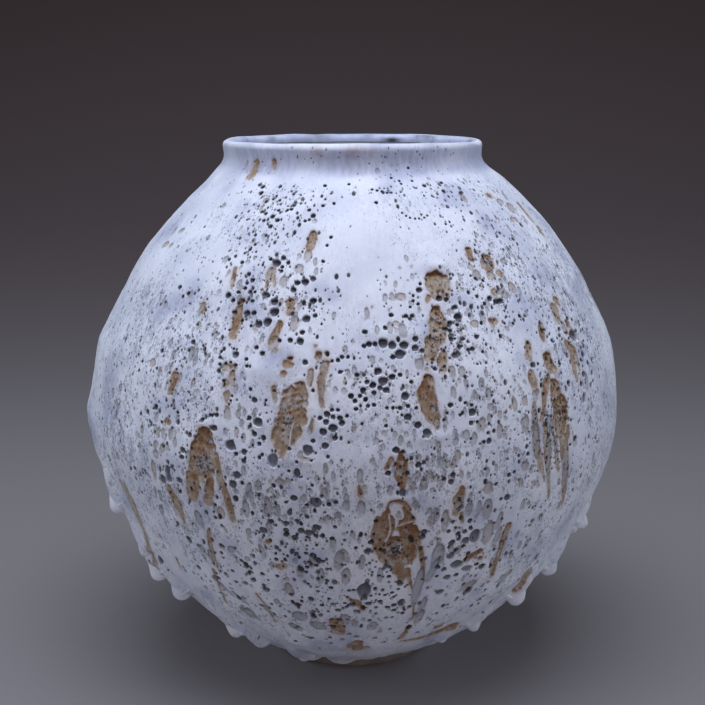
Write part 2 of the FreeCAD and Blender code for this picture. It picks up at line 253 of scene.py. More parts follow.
# ---------------------------------------------------------------------------
# What the photograph shows on the front, read off: x, y, radius in pixels
# ---------------------------------------------------------------------------
BOWLS = [
    (227, 294, 3.5), (232, 299, 2.5), (237, 291, 2.2), (244, 287, 2.2), (249, 291, 2.4), (254, 291, 1.8), (246, 282, 2),
    (252, 279, 2.4), (248, 273, 2.4), (265, 294, 4), (251, 300, 1.9), (274, 301, 4), (274, 311, 4.8), (246, 312, 3.5),
    (253, 312, 2.9), (267, 321, 4.6), (258, 323, 4), (233, 311, 2.8), (250, 325, 1.8), (297, 282, 3.2), (305, 281, 4),
    (313, 278, 3.2), (293, 289, 3.2), (313, 300, 3.8), (306, 318, 4.2), (315, 315, 2.5), (300, 341, 4), (302, 332, 2.8),
    (290, 340, 2.8), (279, 340, 2.5), (262, 353, 3), (256, 347, 2.5), (235, 354, 4), (276, 262, 4.5), (283, 257, 2.8),
    (288, 262, 2.2), (270, 258, 2), (282, 266, 2), (281, 270, 2), (241, 261, 2.2), (234, 255, 1.8), (228, 258, 2),
    (313, 215, 2.8), (309, 219, 1.8), (305, 220, 1.8), (309, 209, 2), (294, 204, 2.2), (291, 208, 2), (287, 209, 1.8),
    (278, 209, 1.8), (272, 215, 2.6), (277, 219, 2.5), (265, 212, 1.9), (261, 210, 1.8), (263, 219, 1.9), (270, 225, 2.4),
    (265, 234, 1.6), (260, 191, 2.6), (262, 185, 2.5), (259, 183, 2.2), (323, 205, 2), (325, 185, 2), (334, 203, 1.8),
    (254, 243, 1.6), (249, 248, 1.8), (327, 245, 1.8), (323, 261, 2), (331, 237, 2), (178, 286, 3), (186, 292, 2.6),
    (181, 295, 2.2), (191, 341, 3.2), (160, 350, 2.6), (140, 361, 1.9), (155, 368, 1.7), (137, 370, 2),
    # upper right
    (372, 190, 1.6), (377, 191, 1.6), (382, 192, 1.7), (387, 193, 1.6), (391, 193, 1.5), (402, 213, 1.3), (406, 216, 1.2),
    (410, 218, 1.3), (415, 219, 1.2), (419, 219, 1.2), (424, 218, 1.2), (427, 216, 1.2),
    (391, 178, 1.5), (399, 181, 1.5), (401, 184, 1.5), (412, 181, 1.4), (408, 168, 1.4), (441, 183, 1.8), (443, 192, 2.2),
    (424, 186, 2), (349, 184, 1.7), (376, 203, 2), (489, 299, 3), (495, 302, 3.2), (500, 301, 3.2), (484, 304, 2.2),
    (475, 279, 2.2), (482, 281, 1.8), (439, 298, 3.5), (419, 290, 3.3), (420, 284, 1.8), (413, 301, 1.8), (418, 304, 1.8),
    (410, 307, 1.6), (455, 307, 2.8), (458, 317, 4.5), (450, 323, 3), (457, 325, 2), (446, 329, 2.4), (450, 331, 2.4),
    (476, 337, 2.8), (459, 347, 2.4), (463, 339, 2), (468, 350, 2.4), (472, 349, 2.8), (482, 352, 1.8), (455, 355, 3.8),
    (451, 339, 2.8), (391, 315, 2.6), (406, 316, 2.5), (412, 316, 2.2), (410, 319, 2.2), (415, 339, 3.2), (385, 328, 2.4),
    (365, 332, 3), (512, 240, 2.5), (520, 226, 3.2), (546, 247, 2.8), (519, 316, 2), (531, 365, 2.8),
    (571, 320, 2.2), (578, 322, 2.3), (575, 331, 2.3), (582, 330, 2.2), (582, 347, 2.4), (586, 363, 2.4),
    (592, 381, 2), (580, 384, 2.8), (567, 383, 3),
    # the row under the fold
    (364, 346, 2.5), (369, 344, 3.2), (375, 344, 2.7), (383, 343, 5.1), (392, 345, 4.3), (404, 345, 4.6), (415, 348, 3.8),
    (393, 357, 3.1), (400, 354, 5.6), (422, 351, 2.8),
    # centre
    (378, 371, 4), (383, 381, 5), (392, 377, 3.4), (373, 385, 3.4), (367, 382, 2.6), (380, 388, 2.8), (386, 390, 3.6),
    (374, 393, 2.6), (363, 390, 3.2), (357, 375, 2.6), (340, 372, 2.2), (351, 396, 3.2), (360, 396, 2.3), (355, 401, 2.6),
    (366, 399, 2.2), (374, 405, 2.3), (368, 406, 2.2), (356, 409, 2.5), (387, 408, 1.9), (393, 408, 2), (400, 408, 2.6),
    (408, 406, 2.3), (416, 408, 1.9), (405, 396, 4.2), (411, 382, 2.2), (400, 375, 2.5), (408, 417, 4), (402, 415, 1.6),
    (418, 425, 3.8), (427, 433, 4.6), (335, 438, 3), (325, 446, 3.8), (323, 432, 4), (333, 428, 4.4), (320, 418, 2.6),
    (327, 414, 3.5), (326, 422, 3.2), (332, 410, 2.2), (338, 410, 2.2), (333, 417, 2.6), (340, 418, 3), (342, 423, 3.2),
    (332, 361, 2), (338, 360, 2.4), (342, 357, 2.4), (348, 357, 2), (308, 450, 5), (294, 498, 3.6), (289, 449, 2),
    (313, 441, 2.6), (328, 457, 2), (305, 362, 3), (396, 450, 3.8), (403, 452, 2.5), (388, 473, 3), (419, 465, 3),
    (451, 482, 3), (453, 475, 2.8), (444, 479, 2.4), (347, 416, 2), (362, 424, 1.8), (386, 426, 2), (307, 505, 2),
    (329, 504, 2.4), (336, 502, 2.2),
    # left
    (219, 357, 2.2), (219, 364, 2), (225, 363, 1.8), (235, 365, 2.4), (218, 371, 2.6), (246, 359, 2.2), (247, 366, 2.1),
    (254, 400, 3.2), (258, 422, 4.9), (249, 418, 2.8), (249, 427, 2), (254, 434, 3), (263, 438, 3), (259, 444, 2.4),
    (244, 452, 3.2), (244, 461, 2.8), (236, 454, 2.4), (262, 455, 2), (237, 475, 4), (233, 484, 4), (202, 420, 2.6),
    (214, 428, 3.6), (189, 435, 3), (216, 415, 2.8), (210, 415, 2.2), (183, 450, 3.5), (182, 457, 3), (180, 480, 3.6),
    (180, 492, 2), (146, 412, 2.7), (154, 407, 3.2), (139, 414, 2), (135, 468, 2), (131, 468, 2),
    # right
    (450, 405, 3), (465, 403, 2), (471, 405, 2), (471, 423, 2.8), (477, 422, 2), (489, 424, 1.8), (494, 431, 2.2),
    (488, 433, 1.9), (489, 441, 3.2), (484, 442, 2), (471, 439, 1.7), (460, 415, 2), (444, 420, 2), (447, 413, 1.7),
    (485, 469, 1.9), (514, 472, 2), (509, 475, 2.4), (496, 484, 2), (507, 497, 3.2), (501, 499, 1.8), (527, 447, 2.1),
    (528, 454, 2.4), (519, 456, 1.8), (571, 420, 2), (575, 438, 3),
    # low
    (451, 556, 4.1), (447, 578, 3.6), (482, 567, 3), (477, 565, 2.2), (440, 593, 3.6), (466, 541, 3.8), (452, 543, 3.2),
    (458, 534, 2.5), (465, 532, 2.4), (424, 532, 3.4), (422, 537, 3.2), (438, 568, 2.4), (444, 570, 2.6), (437, 577, 1.7),
    (376, 521, 2.4), (371, 542, 3), (368, 551, 2.8), (399, 583, 2.4), (389, 577, 2.2), (368, 604, 3), (357, 612, 3),
    (350, 606, 2.6), (338, 611, 2.8), (388, 608, 2.1), (394, 606, 2.6), (402, 602, 2.6), (394, 598, 1.7), (394, 611, 2.4),
    (392, 618, 1.8), (383, 642, 3), (375, 639, 2), (507, 498, 2.8), (470, 521, 2.4), (221, 547, 2.6), (263, 531, 4),
    (271, 522, 2.8), (286, 524, 3), (286, 531, 2.9), (286, 535, 2.7), (301, 531, 3.1), (309, 533, 3.8), (316, 527, 3.2),
    (316, 536, 2.4), (307, 538, 2), (307, 517, 2.3), (297, 521, 2.2), (295, 538, 3.2), (332, 539, 2.5), (313, 556, 3.4),
    (306, 554, 2), (309, 563, 2.2), (316, 560, 2.8), (316, 566, 2.2), (323, 562, 2.3), (307, 568, 2.1), (306, 573, 1.9),
    (276, 560, 2.2), (285, 561, 1.8), (245, 565, 2.3), (253, 581, 2.6), (266, 591, 2.8), (217, 579, 2.6), (307, 638, 2),
    (330, 638, 1.9), (187, 540, 2), (177, 524, 2),
    # smaller ones read from closer crops
    (273.9, 391, 1.9), (312.9, 390.4, 1.9), (230.2, 362, 1.7), (232.3, 371, 2), (222.9, 380.7, 1.9), (231.8, 396, 1.6), (230.4, 400.8, 1.5),
    (175, 369, 1.6), (168.2, 372.6, 1.6), (175.8, 373, 1.4), (172.5, 408.9, 1.6), (176.3, 412.8, 1.8), (265.8, 400.3, 1.6), (264.8, 405, 1.5),
    (250.5, 389.3, 2), (232.8, 348.2, 1.6), (235.9, 348.7, 1.2), (220.3, 351, 1.7), (434.7, 369, 2.3), (431.6, 363, 1.4), (444, 366.8, 1.8),
    (400.3, 467.3, 1.7), (453.7, 631.5, 1.8), (458.8, 539.3, 2.2), (471, 528.5, 2), (413.5, 518, 1.6), (455.6, 551.2, 1.8), (379, 576.3, 2),
    (355.9, 547.6, 1.8), (335, 526.8, 2), (360, 536, 1.9), (297.2, 461.8, 1.8), (311.3, 460.5, 1.5), (289, 471, 1.7), (322, 495.9, 1.8),
    (312.3, 485.2, 1.7), (286, 502.4, 1.8), (290.6, 510, 1.7), (537, 364.2, 1.8), (558.7, 364.2, 1.8), (543, 330, 1.8), (546.4, 337, 1.6),
    (548.8, 333.9, 1.3), (556.5, 338.4, 1.4), (561.7, 338.9, 1.5), (568, 338.9, 1.8), (579, 325, 2), (580, 331, 1.8), (577.5, 351.8, 1.8),
    (579, 360, 1.8), (581, 366.6, 1.5), (584.7, 383, 1.5), (573.7, 395.3, 1.8), (574.7, 408.2, 1.8), (513, 323.6, 1.8), (504.2, 323.6, 1.5),
    (505.8, 317, 1.4), (498.6, 362.3, 1.8),
    (452.9, 521.9, 2.1), (448.7, 531.6, 2.0), (463.3, 546.8, 2.0), (456.3, 575.5, 2.2), (349, 591.1, 1.8), (353.5, 590.4, 2.0), (380.2, 602.5, 2.4), (392.3, 593.9, 1.9),
    (409.6, 607.7, 1.9), (398.5, 590.4, 1.5), (494.4, 550.3, 1.6), (459.8, 629.2, 2.4), (404.6, 611, 1.6), (385, 596, 1.6), (371, 596, 1.5), (376, 608, 1.7), (345, 604, 1.8),
    (329, 599, 1.8), (322, 606, 2.0), (314, 612, 1.8), (300, 606, 1.6), (331, 588, 2.0), (318, 592, 1.6), (308, 585, 1.7), (267, 590, 1.8), (262, 575, 2.0), (296, 640, 1.8),
    (303, 636, 1.6), (312, 639, 2.2), (331, 643, 1.8), (241, 562, 2.0), (232, 572, 1.7), (236, 583, 1.6),
]

# larger or longer hollows: x, y, rx, ry
WIDE_BOWLS = [
    (273, 460, 5, 8), (297, 473, 3.2, 5.5), (316, 502, 6, 5.5), (230, 445, 5, 6), (168, 469, 2.4, 5), (163, 479, 3.2, 5.5),
    (169, 477, 3, 6), (472, 412, 4, 4.5), (475, 536, 5, 7), (457, 565, 6, 4), (467, 569, 5, 3), (364, 591, 6, 7.5),
    (572, 335, 3.5, 7), (109, 458, 1.8, 3.5), (307, 450, 4.5, 6),
    (497.2, 301.6, 5.5, 3.5), (402.6, 492.6, 3.5, 4), (176.8, 422.3, 1.8, 3.2), (402.9, 387, 1.8, 3), (506.7, 554.6, 1.3, 2.6), (511.8, 553.3, 1.6, 2.8),
    (551.2, 341.3, 1.8, 3), (558.4, 329.3, 1.3, 2.5), (558.9, 336, 1.3, 2.2), (566.5, 318.8, 1.5, 2.5), (581.4, 355, 1.6, 3.5), (581.8, 374.3, 1.6, 3.4),
    (590.5, 372.8, 1.4, 3.2), (583.3, 397.2, 1.8, 5.5),
]

# shallow blisters: x, y, rx, ry, tan (0 grey to 1 tan), slant to the right
LENSES = [
    (265, 199, 3, 3, .8, 0), (308, 255, 4, 6, .7, 0), (299, 256, 2.5, 3, .6, 0), (299, 268, 4.5, 4.5, .5, 0),
    (315, 261, 2, 4, .5, 0), (316, 271, 2, 4, .3, 0), (238, 283, 2.5, 5, .3, 0), (283, 281, 4, 6, .5, 0),
    (196, 324, 2.5, 4, .6, 0), (281, 301, 2, 4, .8, 0), (294, 323, 4.5, 8, .7, 0), (247, 261, 2.5, 2.5, .1, 0),
    (385, 298, 2.6, 4, .3, 0), (392, 297, 2.5, 4.5, .3, 0), (401, 297, 5, 4, .8, 0), (396, 324, 3.5, 3, .8, 0),
    (390, 328, 2.8, 6, .4, 0), (402, 331, 4, 7.5, .3, 0), (377, 330, 2.5, 4, .8, 0), (474, 324, 4, 4, .9, 0),
    (470, 268, 2.5, 4, .5, 0), (476, 276, 4, 6, .6, 0), (490, 276, 4, 5, .9, 0), (502, 294, 3.6, 6.3, .4, -.35),
    (511, 288, 3.4, 5.6, .9, -.3), (500, 282, 2, 3, .5, 0), (510, 209, 3.5, 6, .8, -.4), (513, 221, 3.5, 3.5, .8, 0),
    (499, 203, 2.5, 4, .5, -.3), (503, 262, 3.4, 3.4, .3, 0), (491, 246, 2.4, 3, .3, 0), (476, 236, 2, 3, .2, 0),
    # centre
    (372, 360, 3, 4.2, .2, 0), (381, 361, 2.2, 2.6, .5, 0), (354, 367, 2, 2, .2, 0), (348, 371, 2, 2, .3, 0),
    (367, 374, 2, 2, .4, 0), (331, 377, 1.8, 3, .2, 0), (335, 390, 2.2, 3.2, .2, 0), (345, 382, 1.8, 4, 1, 0),
    (344, 391, 2.6, 3.6, .5, 0), (353, 387, 1.8, 2.6, .3, 0), (390, 401, 2.8, 3, .3, 0), (419, 364, 4.4, 6, .3, .5),
    (407, 374, 1.8, 4, .3, 0), (393, 369, 2.5, 3.5, .2, 0), (456, 354, 3.5, 5, .2, 0), (453, 393, 2.8, 6.5, .3, 0),
    (445, 422, 2.6, 5, .3, 0), (376, 416, 2, 2, .2, 0), (372, 420, 2, 2, .3, 0), (385, 421, 2.3, 2.3, .7, 0),
    (388, 416, 1.8, 1.8, .3, 0), (399, 423, 2.4, 2.4, .1, 0), (395, 434, 2.5, 2.8, .6, 0), (384, 433, 2.5, 2.8, .7, 0),
    (377, 434, 1.6, 2, .2, 0), (402, 432, 1.8, 2, .2, 0), (409, 445, 2.5, 2.8, .1, 0), (402, 439, 2, 2, .2, 0),
    (383, 447, 2.2, 3.6, .8, 0), (380, 452, 2, 2.4, .3, 0), (373, 459, 1.8, 2, .7, 0), (375, 465, 1.8, 2, .3, 0),
    (375, 471, 1.8, 2.6, .3, 0), (427, 461, 2, 6, .3, 0), (433, 460, 1.8, 6, .2, 0), (438, 464, 1.8, 5, .2, 0),
    (445, 459, 2, 6, .3, 0), (454, 461, 2, 5, .2, 0), (418, 475, 3, 4, .2, 0), (432, 478, 1.6, 5, .3, 0),
    (435, 478, 1.4, 2, .5, 0), (444, 473, 1.8, 5, .4, 0), (444, 481, 1.6, 3, .3, 0), (453, 475, 2.2, 5, .2, 0),
    (424, 483, 3, 6, .4, 0), (413, 488, 2.5, 6, .2, 0), (416, 503, 2, 7, .1, -.5), (390, 490, 2.6, 5, .2, 0),
    (380, 506, 2.4, 3.4, .1, .6), (437, 515, 2.4, 7, .4, 0), (432, 520, 2.8, 8, .3, 0), (445, 521, 3.8, 11, .4, 0),
    (438, 533, 2.2, 2.2, 1, 0),
    # lower left of the centre
    (268, 508, 4.2, 10, .15, 0), (261, 497, 2.5, 5, .2, 0), (274, 498, 2, 4, .3, 0), (277, 511, 3.4, 6.5, .3, 0),
    (271, 490, 3, 2.8, .8, 0), (304, 498, 2.8, 4, .7, 0), (329, 503, 2.4, 3.4, .1, 0), (336, 502, 2.6, 3, .1, 0),
    (338, 515, 3.4, 4, .2, 0), (328, 517, 2.8, 2.6, .2, 0), (285, 517, 2.4, 2.4, .3, 0), (292, 519, 2, 2, .5, 0),
    (322, 521, 2.8, 2.8, .4, 0), (340, 522, 1.8, 3, .2, 0), (344, 534, 2, 2, .3, 0), (353, 535, 2.6, 4, .2, 0),
    (325, 471, 2, 5, .3, 0), (333, 475, 1.8, 4, .1, 0), (322, 489, 1.8, 5, .2, 0), (326, 483, 1.6, 2, .3, 0),
    (301, 488, 2.2, 1.8, .2, 0), (336, 489, 3.4, 1.4, .2, 0), (280, 482, 5, 3, .9, 0), (361, 508, 4.4, 7, .2, 0),
    # left
    (156, 444, 2.4, 3.5, .5, 0), (156, 454, 3.2, 4, .5, 0), (154, 469, 2.4, 9, .8, 0), (162, 449, 2.2, 4.5, .5, 0),
    (157, 433, 2, 5, .5, 0), (162, 433, 1.8, 5, .5, 0), (170, 435, 2, 6, .6, 0), (163, 424, 2, 2.6, .6, 0),
    (168, 423, 2.2, 3, .6, 0), (238, 414, 2.4, 4.6, .4, 0), (244, 413, 1.8, 4.2, .1, 0), (241, 423, 2.2, 4, .2, 0),
    (236, 432, 2.1, 4.5, .6, 0), (243, 438, 2.2, 4.5, .1, 0), (252, 444, 2, 4.5, .1, 0), (255, 411, 2.4, 3, .2, 0),
    (227, 414, 3, 8, .6, 0), (236, 389, 1.8, 5, .6, 0), (151, 362, 2.7, 4.5, .9, 0), (162, 242, 3, 4, .9, -.3),
    (168, 243, 2, 3, .6, 0), (178, 228, 2.5, 3.5, .4, -.3), (273, 342, 6, 7.5, .75, 0), (173, 393, 2.2, 4, .5, 0),
    (246, 509, 3.3, 10, .15, 0), (251, 497, 3.2, 7, .2, 0), (199, 519, 3.4, 10, .2, -.15), (221, 513, 3.6, 6.5, .9, -.15),
    (230, 507, 2.6, 8, .5, -.2), (231, 550, 3.8, 3, .2, 0), (234, 557, 1.8, 2, .1, 0), (237, 563, 1.4, 2.4, .1, -.5),
    (249, 615, 5.4, 6, .3, 0), (289, 591, 4.6, 7, .6, 0), (211, 558, 3.4, 7, .3, -.2), (345, 556, 4, 7, .35, -.3),
    # right
    (451, 371, 3.5, 5.5, .8, 0), (461, 372, 3.5, 5.5, .4, 0), (485, 374, 2, 4.5, .3, 0), (475, 396, 2.2, 4, .2, 0),
    (490, 407, 3, 4, .4, 0), (494, 410, 2.2, 4, .3, 0), (489, 418, 2, 4.5, .3, 0), (482, 424, 3.5, 7, .6, 0),
    (524, 401, 2.6, 4.6, .9, 0), (525, 422, 4, 6, .3, 0), (525, 466, 3.5, 5, .8, 0), (592, 459, 1.5, 7, .5, 0),
    (536, 441, 4, 18, .3, 0), (548, 455, 3, 18, .35, 0), (541, 333, 2.6, 8, .7, 0), (552, 432, 2.4, 14, .2, 0),
    (469, 509, 3.5, 7, .3, 0), (470, 497, 2, 5, .2, 0), (479, 508, 2.5, 7, .2, 0), (487, 509, 5, 10, .3, 0),
    (488, 488, 4.5, 6, .6, 0), (499, 521, 3, 9, .2, .1), (497, 537, 3, 12, .2, .2), (488, 533, 5.4, 12, .5, 0),
    (468, 587, 4.6, 8, .5, 1.0), (507, 577, 3.4, 7, .3, .6), (438, 556, 6.4, 13, .05, .08), (432, 572, 4, 12, .05, .2),
    (418, 588, 4.8, 21, .05, 0), (419, 618, 4, 8, .1, .1), (392, 563, 4, 5, .1, 0), (405, 562, 3, 5, .1, 0),
    (259, 485.6, 3.0, 5.5, 0.15, 0), (288, 481, 3.4, 2.6, 0.7, 0), (328, 492, 2.0, 10, 0.05, 0.05), (339, 561, 5.0, 10, 0.25, 0.1), (346, 577, 4.6, 8, 0.3, 0.1),
    (421.5, 608, 3.4, 10, 0.2, 0.1), (230, 551, 3.0, 4.6, 0.1, 0.2), (333, 545, 3.0, 8, 0.3, 0), (312, 561, 3.2, 8, 0.2, 0.1), (300, 572, 3.4, 7, 0.3, 0.1), (321, 577, 3.6, 8, 0.1, 0.1),
    (262, 553, 3.0, 8, 0.1, -0.2), (249, 616, 5.2, 8, 0.25, -0.5), (268, 612, 3.0, 7, 0.1, -0.4), (300, 617, 8.0, 5, 0.1, -0.6), (318, 626, 7.0, 5, 0.15, -0.6), (296, 629, 6.0, 4, 0.1, -0.7),
    (345, 620, 5.0, 5, 0.2, 0), (372, 627, 5.0, 4, 0.1, 0.3), (226, 591, 2.2, 9, 0.15, -0.5), (240, 600, 2.2, 9, 0.1, -0.5), (380, 575, 3.0, 7, 0.1, 0), (362, 562, 3.0, 8, 0.3, 0),
]

